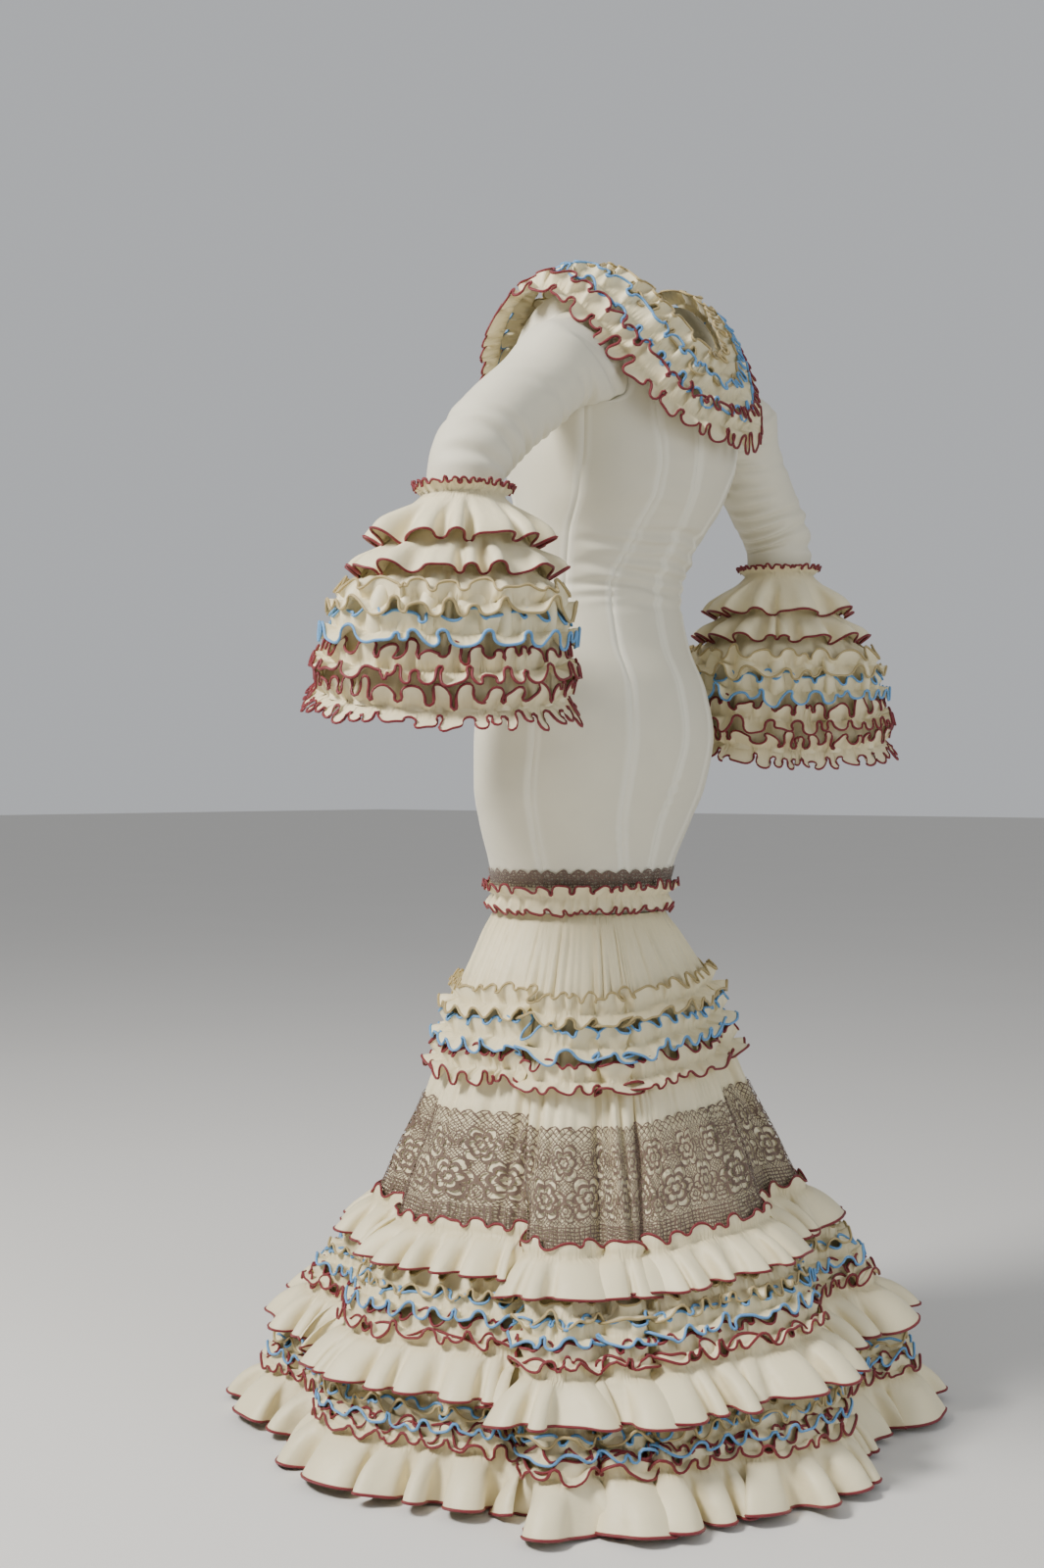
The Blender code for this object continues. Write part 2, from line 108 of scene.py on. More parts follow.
# Creases pulled across the waist and hollow of the back: angle and height of the middle, half
# its length in degrees, half its width, its depth, and how much it climbs along its length.
CREASES = (
    (66, 1.190, 36, 0.0075, 0.0022, 0.007), (72, 1.176, 46, 0.0070, 0.0042, 0.004),
    (58, 1.160, 38, 0.0065, 0.0044, -0.004), (90, 1.163, 30, 0.0060, 0.0030, 0.009),
    (70, 1.144, 44, 0.0070, 0.0040, 0.004), (50, 1.131, 30, 0.0060, 0.0028, -0.005),
    (80, 1.124, 42, 0.0068, 0.0044, -0.003), (58, 1.110, 48, 0.0066, 0.0044, 0.004),
    (92, 1.103, 28, 0.0060, 0.0032, -0.006), (48, 1.094, 30, 0.0060, 0.0024, 0.005),
    (76, 1.084, 38, 0.0080, 0.0018, 0.003), (74, 1.207, 32, 0.0080, 0.0016, 0.004),
    (82, 1.223, 28, 0.0075, 0.0014, -0.003), (72, 1.240, 32, 0.0080, 0.0014, 0.004),
    (84, 1.257, 26, 0.0075, 0.0012, 0.003), (76, 1.274, 30, 0.0085, 0.0012, -0.003),
    (114, 1.178, 36, 0.0070, 0.0034, -0.005), (124, 1.160, 42, 0.0066, 0.0038, 0.004),
    (116, 1.142, 38, 0.0068, 0.0038, -0.004), (128, 1.124, 40, 0.0064, 0.0042, 0.005),
    (114, 1.107, 38, 0.0066, 0.0034, 0.003), (130, 1.090, 30, 0.0075, 0.0018, 0.003),
    (148, 1.171, 26, 0.0065, 0.0026, 0.004), (150, 1.133, 26, 0.0065, 0.0028, -0.004),
    (-86, 1.130, 46, 0.0080, 0.0018, 0.004), (-68, 1.110, 38, 0.0075, 0.0022, -0.005),
    (-114, 1.104, 36, 0.0075, 0.0022, 0.005), (-90, 1.088, 42, 0.0080, 0.0016, -0.003),
    (28, 0.905, 34, 0.0200, 0.0016, 0.012), (52, 0.760, 30, 0.0150, 0.0014, -0.008),
)
# Short puckers across the end of the zip and of the back princess seam, in the same columns.
PUCKERS = (
    (91, 0.842, 8, 0.0048, 0.0026, 0.012), (92, 0.827, 9, 0.0044, 0.0024, 0.014),
    (91, 0.812, 8, 0.0042, 0.0020, 0.014), (65, 0.792, 7, 0.0042, 0.0018, 0.010),
    (65, 0.777, 8, 0.0042, 0.0020, 0.012), (65, 0.762, 7, 0.0040, 0.0016, 0.010),
)
# The power with which a crease fades towards its ends.
FADE_POWER = 1.5
# A seam's groove, half the strip where its turnings show, the share of that before it fades,
# and how much closer the columns lie towards the seams.
SEAM_DEPTH = 0.0018
SEAM_WIDTH = 0.0024
ALLOWANCE, ALLOWANCE_FULL = 0.011, 0.7
EDGE_COLUMNS = 0.65

# The middle of each sleeve: x away from the body, y, height and radius.
SLEEVE_PATHS = {
    "left": (
        (0.2150, 0.116, 1.366, 0.0560),
        (0.2547, 0.112, 1.330, 0.0515),
        (0.3134, 0.108, 1.286, 0.0490),
        (0.3510, 0.104, 1.2486, 0.0475),
        (0.3669, 0.102, 1.220, 0.0455),
        (0.3695, 0.100, 1.195, 0.0450),
    ),
    "right": (
        (0.2050, 0.110, 1.358, 0.0560),
        (0.2320, 0.106, 1.3155, 0.0515),
        (0.2720, 0.113, 1.250, 0.0490),
        (0.2950, 0.118, 1.2150, 0.0475),
        (0.3030, 0.120, 1.185, 0.0455),
        (0.3030, 0.120, 1.160, 0.0450),
    ),
}
# The sleeve starts this far outside the armhole, and keeps its shape for a share of the way on.
SLEEVE_START = 0.0024
SLEEVE_HEAD = 0.45
SLEEVE_ROUND, SLEEVE_LONG = 96, 132
# Creases on a sleeve: place round it (0 under the arm, 0.25 behind, 0.5 on top), place along it
# (0 at the armhole, 1 at the end), half extents round and along, depth, and slant.
SLEEVE_CREASES = (
    (0.08, 0.15, 0.17, 0.028, 0.0050, 0.10), (0.12, 0.23, 0.16, 0.024, 0.0040, 0.08),
    (0.22, 0.09, 0.20, 0.028, 0.0036, 0.16), (0.03, 0.31, 0.13, 0.020, 0.0032, 0.05),
    (0.07, 0.38, 0.13, 0.018, 0.0034, 0.06), (0.02, 0.45, 0.13, 0.018, 0.0034, 0.04),
    (0.06, 0.52, 0.14, 0.018, 0.0038, 0.04), (0.01, 0.59, 0.15, 0.018, 0.0042, 0.02),
    (0.05, 0.66, 0.17, 0.018, 0.0048, 0.03), (0.00, 0.725, 0.18, 0.018, 0.0054, 0.01),
    (0.04, 0.79, 0.19, 0.019, 0.0052, 0.00), (0.00, 0.86, 0.17, 0.019, 0.0042, -0.02),
    (0.92, 0.26, 0.15, 0.024, 0.0036, -0.06), (0.90, 0.49, 0.14, 0.022, 0.0030, -0.04),
    (0.55, 0.78, 0.16, 0.030, 0.0020, 0.03), (0.34, 0.90, 0.22, 0.022, 0.0040, 0.02),
    (0.30, 0.80, 0.22, 0.022, 0.0034, 0.03), (0.24, 0.70, 0.20, 0.022, 0.0030, 0.05),
    (0.30, 0.46, 0.16, 0.030, 0.0016, 0.08), (0.70, 0.66, 0.16, 0.028, 0.0016, -0.06),
)

# Where a cuff's hem hangs from the sleeve's end: x away from the body, y, drop.
CUFF_HANG = {"left": (0.020, -0.020, 0.262), "right": (0.057, -0.030, 0.268)}
CUFF_LOBES = 4
CUFF_FOLD = 0.055
CUFF_FOLDS_FULL = 0.14
# The side of a cuff towards this angle hangs lower by this much.
CUFF_DROOP, CUFF_DROOP_ANGLE = 0.042, 48.0
# A ruche on a cuff widens by this share of the way down it.
CUFF_SPREAD = 0.3
CUFF_COLUMNS = 600
# The tiers' waves: dwell, outward bias, and where and how far the longest tier's fade again.
CUFF_DWELL, CUFF_BIAS = 0.35, 0.7
CUFF_FADE, CUFF_FADE_SHARE = (0.145, 0.190), 0.55
# The waves are as tall as at the edge from where the radius is 1 / CUFF_FULL of the edge's.
CUFF_FULL = 1.1
HEADING_OUT = 0.002
# Cuff tiers: name, rows of drop and radius, height of the heading, waves round the edge, turning of
# the wave, drops where the waves start and are full, columns and rows.
CUFF_TIERS = (
    ("tier_short", ((0.0090, 0.0495), (0.018, 0.0575), (0.036, 0.0740), (0.070, 0.0950)),
     0.0105, 13, (1.1, 1.6), (0.010, 0.066), 500, 12),
    ("tier_middle", ((0.0125, 0.0485), (0.028, 0.0620), (0.056, 0.0790), (0.106, 0.1180)),
     0.0, 19, (1.1, 1.6), (0.058, 0.104), 540, 15),
    ("tier_long", ((0.0160, 0.0475), (0.060, 0.0760), (0.130, 0.1215), (0.238, 0.1430)),
     0.0, 24, (1.0, 1.5), (0.098, 0.135), 560, 26),
)
# Cuff ruches: name, colour, drop of the gathering line, radius, half width, waves, turning,
# flares, and tilt of the waves.
CUFF_RUCHES = (
    ("ruche_beige", "beige", 0.137, 0.1300, 0.0205, 25, (1.2, 1.85), (32, 54), 112),
    ("ruche_blue", "blue", 0.167, 0.1365, 0.0205, 28, (1.3, 1.95), (30, 56), 108),
    ("ruche_red", "red", 0.202, 0.1410, 0.0215, 38, (1.6, 2.05), (36, 60), 88),
    ("hem_ruffle", "red", 0.236, 0.1435, 0.0225, 44, (1.7, 2.1), (54, 34), 66),
)

# The skirt's cloth: height and radius.
SKIRT_PROFILE = (
    (0.000, 0.460), (0.050, 0.430), (0.100, 0.408), (0.150, 0.383), (0.205, 0.342),
    (0.265, 0.297), (0.350, 0.256), (0.410, 0.226), (0.467, 0.203), (0.560, 0.171),
    (0.620, 0.144), (0.655, 0.127), (0.671, 0.118),
)
# Its lobes and the folds between them, in turn: angle at the hem, angle at the lace, share of
# the profile's radius at the hem and at the lace, and how far the cloth is lifted there.
SKIRT_PLAN = (
    (-42, -50, 1.02, 0.98, 0.004), (-30, -38, 0.90, 0.86, 0.004), (-21, -31, 0.89, 0.86, 0.004),
    (-12, -24, 0.97, 0.95, 0.004), (-6, -16, 0.99, 0.95, 0.004), (12, 2, 0.935, 0.89, 0.008),
    (29, 20, 0.90, 0.86, 0.010), (32, 23.5, 1.02, 0.99, 0.000), (36, 32, 1.035, 1.01, 0.000),
    (38.6, 42, 0.985, 0.93, 0.000), (41.5, 45.5, 1.005, 0.985, 0.000),
    (44.5, 49.5, 1.00, 0.98, 0.000), (46.5, 52.5, 0.955, 0.915, 0.002),
    (49, 56, 0.985, 0.975, 0.003), (61, 68, 0.955, 0.96, 0.012), (68, 76, 1.00, 0.965, 0.014),
    (83, 92, 0.985, 0.95, 0.018), (89, 99, 0.88, 0.85, 0.020), (98, 106, 0.85, 0.84, 0.022),
    (110, 115, 0.89, 0.86, 0.024), (119, 122, 1.02, 0.98, 0.026), (132, 134, 0.97, 0.95, 0.024),
    (146, 147, 0.88, 0.86, 0.020), (162, 162, 1.00, 0.98, 0.012), (178, 178, 0.97, 0.96, 0.010),
    (194, 194, 0.88, 0.87, 0.007), (208, 208, 1.02, 1.00, 0.004), (222, 222, 0.97, 0.95, 0.002),
    (240, 239, 0.87, 0.86, 0.002), (254, 253, 1.01, 0.99, 0.004), (268, 266, 0.96, 0.95, 0.006),
    (281, 278, 0.89, 0.87, 0.006), (291, 288, 0.99, 0.98, 0.006), (306, 300, 0.94, 0.93, 0.005),
)
LACE_HEIGHT = 0.30
# The folds lean on to this share of the lace's height, are full below FOLDS_FULL and gone at
# FOLDS_GONE. The lift grows up to LIFT_FULL, and fades over LIFT_FADE under FOLDS_GONE.
LEAN_END = 1.5
FOLDS_FULL = 0.40
FOLDS_GONE = 0.655
LIFT_FULL = 0.20
LIFT_FADE = 0.10
# Gathers of the upper tier: ridges, how far they stand out, and the heights where they start
# and are full. They fade out between the two heights of GATHERS_END.
GATHERS = ((64, 0.0062, 0.672, 0.635), (34, 0.0100, 0.640, 0.540))
GATHERS_END = (0.20, 0.30)
GATHER_STEPS = 2000
# How uneven the ridges' spacing is, their least and added force, and the power and middle of
# their section, |cos| ** power - middle.
RIDGE_PACE, RIDGE_FORCE, RIDGE_POWER, RIDGE_MIDDLE = 0.55, (0.65, 0.35), 0.8, 0.55
# Tiers: name, lowest and highest height, columns and rows of cloth.
SKIRT_TIERS = (
    ("skirt_tier_upper", 0.2600, 0.6715, 820, 36),
    ("skirt_tier_middle", 0.1520, 0.2615, 420, 8),
    ("skirt_tier_lower", 0.0450, 0.1525, 420, 8),
)
# The lace band: lowest and highest height, columns and rows, and its distance from the tier.
LACE_BAND = (0.2740, 0.4120, 820, 12)
LACE_OUT = 0.0035
# Flounces: name, height of the gathering line, length that falls from it, heading above it, how
# far the hem stands out, waves, turning of the wave, columns, and tilt of the wave.
SKIRT_FLOUNCES = (
    ("flounce_upper", 0.2655, 0.054, 0.011, 0.020, 52, (1.3, 1.85), 1150, 24),
    ("flounce_middle", 0.1495, 0.058, 0.011, 0.020, 56, (1.35, 1.9), 1200, 24),
    ("flounce_hem", 0.0520, 0.060, 0.011, 0.009, 58, (1.5, 2.0), 1250, 12),
)
# Ruches: name, colour, height of the gathering line, half the strip's width, waves, columns,
# and how far the upper and lower halves flare from the cloth, in degrees.
SKIRT_RUCHES = (
    ("skirt_ruche_beige_upper", "beige", 0.546, 0.0235, 44, 860, (30, 50)),
    ("skirt_ruche_blue_upper", "blue", 0.505, 0.0235, 46, 900, (30, 50)),
    ("skirt_ruche_red_upper", "red", 0.464, 0.0230, 50, 940, (30, 50)),
    ("skirt_ruche_beige_middle", "beige", 0.2080, 0.0175, 80, 1060, (14, 50)),
    ("skirt_ruche_blue_middle", "blue", 0.1860, 0.0185, 82, 1060, (28, 56)),
    ("skirt_ruche_red_middle", "red", 0.1645, 0.0180, 84, 1060, (28, 58)),
    ("skirt_ruche_beige_lower", "beige", 0.0960, 0.0155, 90, 1110, (14, 52)),
    ("skirt_ruche_blue_lower", "blue", 0.0790, 0.0165, 92, 1110, (30, 58)),
    ("skirt_ruche_red_lower", "red", 0.0625, 0.0165, 94, 1110, (30, 60)),
)

# Collar lines from the neck out, in the first seven of the body's columns.
COLLAR_LINES = (
    (1.514, 1.398, 1.430, 0.073, 0.121, 0.078, 2.0),
    (1.512, 1.362, 1.402, 0.118, 0.143, 0.071, 2.2),
    (1.494, 1.328, 1.372, 0.159, 0.159, 0.064, 2.6),
    (1.466, 1.292, 1.342, 0.196, 0.168, 0.058, 3.2),
)
# Collar ruches: colour, waves and columns. Each is a little wider than its share of the lines.
COLLAR_RUCHES = (("beige", 38, 680), ("blue", 46, 760), ("red", 52, 840))
COLLAR_OUT, COLLAR_WIDER, COLLAR_WAVE = 0.003, 1.06, 1.2
COLLAR_FLARES, COLLAR_TILT, COLLAR_TURNING = (36, 30), 104.0, (1.4, 2.05)

# The knee ruche: height of the gathering line, half width, waves and columns.
KNEE_RUCHE = (0.6950, 0.0195, 40, 680)
# The lace edging over it: lowest and highest height, columns, rows, and distance out.
KNEE_LACE = (0.7080, 0.7390, 320, 5, 0.0032)
KNEE_LACE_DRAWN = 0.0235
KNEE_DETAIL = 0.1
KNEE_FLARES, KNEE_TILT, KNEE_TURNING = (30, 34), 108.0, (1.2, 1.9)

# A ruche's rows: share of its half width from the gathering line, and share of the full wave.
RUCHE_ROWS = (
    (-1.0, 1.0), (-0.66, 0.76), (-0.30, 0.36), (0.0, 0.0), (0.30, 0.36), (0.66, 0.76), (1.0, 1.0),
)
RUCHE_OUT = 0.004
RUCHE_DETAIL = 0.12
SKIRT_RUCHE_TILT, SKIRT_RUCHE_TURNING = 112.0, (1.1, 1.9)
# A flounce's rows below its gathering line: share of its fall, and share of the full wave.
FALL_ROWS = (
    (1.0, 1.0), (0.86, 0.97), (0.70, 0.90), (0.54, 0.78), (0.38, 0.60), (0.22, 0.36), (0.09, 0.14),
)
# A flounce starts this far out, and its fall stands out with this power of its share.
FLOUNCE_OUT, STAND_POWER = 0.006, 0.7
# Rows of a heading: share of its height, distance out, share of the wave, and tilt.
FLOUNCE_HEADING = (
    (0.0, FLOUNCE_OUT, 0.0, 8.0), (0.35, 0.008, 0.16, 60.0), (0.7, 0.0100, 0.34, 75.0),
    (1.0, 0.0125, 0.50, 90.0),
)
HEADING_TURNING = (1.2, 1.8)
CUFF_HEADING = ((0.35, 0.002, 0.35, 60.0), (0.7, 0.005, 0.8, 65.0), (1.0, 0.009, 1.2, 70.0))
FLOUNCE_BIAS = 0.3
# The hem's cloth stays this high, so that the cord on its edge lies just above the floor.
HEM_LOWEST = 0.0025
CORD_SIDES = 4

# Gathered edges: how long the phase dwells at the crests, how uneven the waves' lengths are, how
# unsteady their heading is, the share of the waves' number under which a drift belongs to the
# stitching, and how strongly the turning goes to one end or the other of its range.
DWELL, UNEVEN, UNSTEADY, DRIFT, TURNING_SPREAD = 0.45, 0.45, 0.25, 0.6, 1.2
# How far up and down the cloth's own slope is felt.
SLOPE_STEP = 0.01
# Where each kind of piece starts its own run of chance numbers.
GATHER_SEED, FLOUNCE_SEED, RUCHE_SEED, COLLAR_SEED, KNEE_SEED = 11, 31, 51, 81, 91
CUFF_SEEDS = {"left": (100, 120), "right": (140, 160)}
HEADING_SEED = 9
# Steps round a ring where its length is measured, on the dress and on the cuffs.
RING_STEPS, CUFF_STEPS = 4001, 3001

FLOOR_SIZE = 80.0
# The camera stands this far from the middle of the dress, on this bearing, at this height,
# and a little aside. Its lens is in millimetres.
CAMERA_FROM = 2.43
CAMERA_ANGLE = 40.01
CAMERA_HEIGHT = 0.845
CAMERA_ASIDE = 0.0917
CAMERA_LENS = 40.25
# Lamps: distance towards the camera, to its right and up, size, share of the key light's power,
# and colour. All of them aim at AIM_HEIGHT, measured from between the shoulders.
LAMPS = (
    ("key", 1.5, -2.6, 1.9, 1.2, 1.0, (1.0, 0.97, 0.92)),
    ("fill", 2.4, 3.0, 0.3, 2.4, 0.20, (0.93, 0.97, 1.0)),
)
AIM_HEIGHT = -0.75
TOP_SPREAD = 100
BACKDROP = 0.62


# --- Curves and waves -----------------------------------------------------------------------

def through(keys, values, at):
    """Smooth values through the rows of a table.

    Between two keys the value is a cubic, whose slope at each key is the harmonic mean of the
    straight slopes on either side, or zero where they differ in sign, so nothing overshoots.
    """
    keys, values, at = np.asarray(keys, float), np.asarray(values, float), np.asarray(at, float)
    gap = np.diff(keys)[:, None]
    table = values.reshape(len(keys), -1)
    slope = np.diff(table, axis=0) / gap
    product = slope[:-1] * slope[1:]
    total = np.where(product > 0, slope[:-1] + slope[1:], 1.0)
    inner = np.where(product > 0, 2 * product / total, 0.0)
    tangent = np.concatenate([slope[:1], inner, slope[-1:]])
    index = np.clip(np.searchsorted(keys, at, side="right") - 1, 0, len(keys) - 2)
    share = (np.clip(at, keys[0], keys[-1]) - keys[index])[..., None] / gap[index]
    cubic = share * share * (3 - 2 * share)
    start = share * (1 - share) ** 2 * tangent[index] * gap[index]
    end = share * share * (share - 1) * tangent[index + 1] * gap[index]
    found = table[index] * (1 - cubic) + table[index + 1] * cubic + start + end
    return found.reshape(at.shape + values.shape[1:])


def unit(vectors):
    """Each vector divided by its length."""
    return vectors / np.maximum(np.linalg.norm(vectors, axis=-1, keepdims=True), 1e-12)


def step(value, low, high):
    """0 below low and 1 above high, with a smooth rise between them."""
    share = np.clip((value - low) / (high - low), 0.0, 1.0)
    return share * share * (3 - 2 * share)


def along_ring(points):
    """The direction of a closed ring of points at each of them."""
    return unit(np.roll(points, -1, axis=-2) - np.roll(points, 1, axis=-2))


def lengths_along(points):
    """The distance along a line of points, from 0 at its first."""
    return np.concatenate([[0], np.cumsum(np.linalg.norm(np.diff(points, axis=0), axis=1))])


def row_lengths(grid):
    """The length of each row of a grid of points."""
    return np.linalg.norm(np.diff(grid, axis=1), axis=2).sum(axis=1)


def ring_noise(count, detail, rng):
    """Smooth noise that closes on itself: a sum of detail sine waves with chance phases."""
    place = np.arange(count) / count
    waves = np.arange(1, detail + 1)[:, None]
    phase = rng.uniform(0, 2 * np.pi, (detail, 1))
    size = rng.normal(0, 1, (detail, 1))
    noise = (size * np.sin(2 * np.pi * waves * place + phase)).sum(0)
    return noise / noise.std()


def low_pass(values, limit):
    """A closed run of values without its waves above the limit."""
    spectrum = np.fft.rfft(values)
    spectrum[int(limit) + 1:] = 0
    return np.fft.irfft(spectrum, len(values))


def meander(count, waves, turning, dwell, rng):
    """The path of a gathered edge, seen along the cloth from its stitching.

    Its heading swings as turn * sin(phase), which makes rounded waves and, past 90 degrees,
    loops. The phase dwells at the crests, so that they are wide and the dips between them
    narrow. Steps along the heading add up to the path. What is returned is the place of each
    point of the stitching as a share of the ring, then the edge's offsets along and across
    the ring, also as shares of its length, and the cut length as a multiple of the ring's.
    """
    pace = np.exp(UNEVEN * ring_noise(count, waves, rng))
    phase = 2 * np.pi * waves * np.cumsum(pace) / pace.sum()
    chance = 0.5 + 0.5 * np.tanh(TURNING_SPREAD * ring_noise(count, waves, rng))
    turn = turning[0] + (turning[1] - turning[0]) * chance
    unsteady = UNSTEADY * ring_noise(count, 2 * waves, rng)
    heading = turn * np.sin(phase + dwell * np.sin(phase) + unsteady)
    ahead = np.cumsum(np.cos(heading)) / count
    aside = np.cumsum(np.sin(heading)) / count
    total = ahead[-1]
    even = np.arange(1, count + 1) / count
    ahead = ahead / total
    aside = (aside - aside[-1] * even) / total
    stitched = even + low_pass(ahead - even, DRIFT * waves)
    return stitched, ahead - stitched, aside - low_pass(aside, DRIFT * waves), 1 / total


# --- Meshes ---------------------------------------------------------------------------------

def grid_mesh(name, grid, flat, ring, tube=False):
    """A mesh of four-sided faces between the rows and columns of a grid of points.

    Ring joins the last column to the first, and tube the last row to the first. flat holds
    each point's place on the uncut cloth in metres, with one more column on a ring.
    """
    rows, columns = grid.shape[:2]
    row, column = np.meshgrid(
        np.arange(rows if tube else rows - 1), np.arange(columns if ring else columns - 1),
        indexing="ij",
    )
    row, column = row.ravel(), column.ravel()
    corners = ((row, column), (row, column + 1), (row + 1, column + 1), (row + 1, column))
    index = np.stack([(r % rows) * columns + c % columns for r, c in corners], axis=1)
    mesh = bpy.data.meshes.new(name)
    mesh.vertices.add(rows * columns)
    mesh.vertices.foreach_set("co", (grid - SHOULDER).astype(np.float32).ravel())
    mesh.loops.add(index.size)
    mesh.loops.foreach_set("vertex_index", index.astype(np.int32).ravel())
    mesh.polygons.add(len(index))
    mesh.polygons.foreach_set("loop_start", np.arange(0, index.size, 4, dtype=np.int32))
    mesh.polygons.foreach_set("use_smooth", np.ones(len(index), bool))
    place = np.stack([flat[r, c] for r, c in corners], axis=1)
    mesh.uv_layers.new(name="UVMap").uv.foreach_set("vector", place.astype(np.float32).ravel())
    mesh.update(calc_edges=True)
    return mesh


def flat_places(across, along):
    """Places on the cloth: a grid from distances across (columns) and along (rows)."""
    return np.stack(np.broadcast_arrays(across[None, :], along[:, None]), axis=-1)


def even_places(width, columns, along):
    """Places on a cloth of one width, with its columns evenly apart."""
    return flat_places(width * np.arange(columns + 1) / columns, along)


def add_piece(name, mesh, material, slot, *nodes):
    """An object for the mesh that rides on the root, in place of nodes; its slot is not used."""
    mesh.materials.append(material)
    piece = bpy.data.objects.new(name, mesh)
    bpy.context.scene.collection.objects.link(piece)
    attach(piece, "root")
    if nodes:
        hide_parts(*nodes)
    return piece


def closed_piece(node, part, grid, flat, finish, slot):
    """A piece whose grid closes into a ring, in place of the CAD node it is named for."""
    mesh = grid_mesh(node, grid, flat, ring=True)
    return add_piece(f"{node}_{part}", mesh, FINISHES[finish], slot, node)


def both_edges(grid):
    """The first and last rows of a grid, each with the row beside it."""
    return [(grid[0], grid[1]), (grid[-1], grid[-2])]


def edge_cord(node, edges, radius, colour):
    """Round binding along edges of a grid: a few points round each point of each edge.

    Each edge is the edge's own points and those of the row beside it, which give the
    direction across. The round of points is radius * (cos * across + sin * off the cloth).
    """
    turns = 2 * np.pi * np.arange(CORD_SIDES + 1) / CORD_SIDES
    rounds = turns[:-1, None, None]
    name = node + "_cords"
    meshes = []
    for edge, beside in edges:
        across = unit(edge - beside)
        off = unit(np.cross(along_ring(edge), across))
        grid = edge + radius * (np.cos(rounds) * across + np.sin(rounds) * off)
        length = np.arange(len(edge) + 1) * np.linalg.norm(np.diff(edge, axis=0), axis=1).mean()
        flat = flat_places(length, radius * turns)
        meshes.append(grid_mesh(name, grid[::-1], flat, ring=True, tube=True))
    joined = meshes[0] if len(meshes) == 1 else join_meshes(name, meshes)
    return add_piece(name, joined, FINISHES[colour], "ruche_" + colour)


def join_meshes(name, meshes):
    """One mesh with all the points, faces and cloth places of several."""
    whole = bmesh.new()
    for mesh in meshes:
        whole.from_mesh(mesh)
    joined = bpy.data.meshes.new(name)
    whole.to_mesh(joined)
    whole.free()
    for mesh in meshes:
        bpy.data.meshes.remove(mesh)
    joined.name = name
    return joined


# --- Materials ------------------------------------------------------------------------------

GROUPS, FINISHES = {}, {}
# The cord's strands lie this far apart.
STRAND_PITCH = 0.0016
# The lace: wobble of its threads, distance between rosettes, heights of the ladder net and of
# the open net, length and depth of a scallop, and how far in its rim's line lies and how wide.
LACE_WOBBLE = 0.0050
ROSETTE_PITCH = 0.058
LADDER_TOP, OPEN_DEPTH = 0.030, 0.020
SCALLOP, SCALLOP_DEPTH = 0.020, 0.006
RIM_INSET, RIM_WIDTH = 0.0012, 0.0010
# Nets, as pitch and share of the thread's width: the ladder's uprights, rungs and slants, the
# net between the rosettes, and the open net over them.
LADDER_NET = ((0.0058, 1.05), (0.0046, 1.05), (0.0116, 0.6))
FINE_NET, OPEN_NET = (0.0050, 0.8), (0.0090, 1.15)
# A rosette: least and added reach of its petals, how many rings it has, the power that spaces
# them and the width between them, and where its spokes and its edge are.
PETAL_LEAST, PETAL_MORE = 0.72, 0.28
RINGS, RING_POWER, RING_GAP = 3.0, 0.8, 0.28
SPOKE_WIDTH, SPOKE_START, ROSETTE_EDGE = 0.22, 0.3, 1.02
# Rows of rosettes: shift along, as a share of the pitch, height of the middle, and size.
ROSETTES = ((0.0, 0.062, 0.0290), (0.5, 0.106, 0.0250), (0.5, 0.048, 0.0165), (0.0, 0.110, 0.0140))


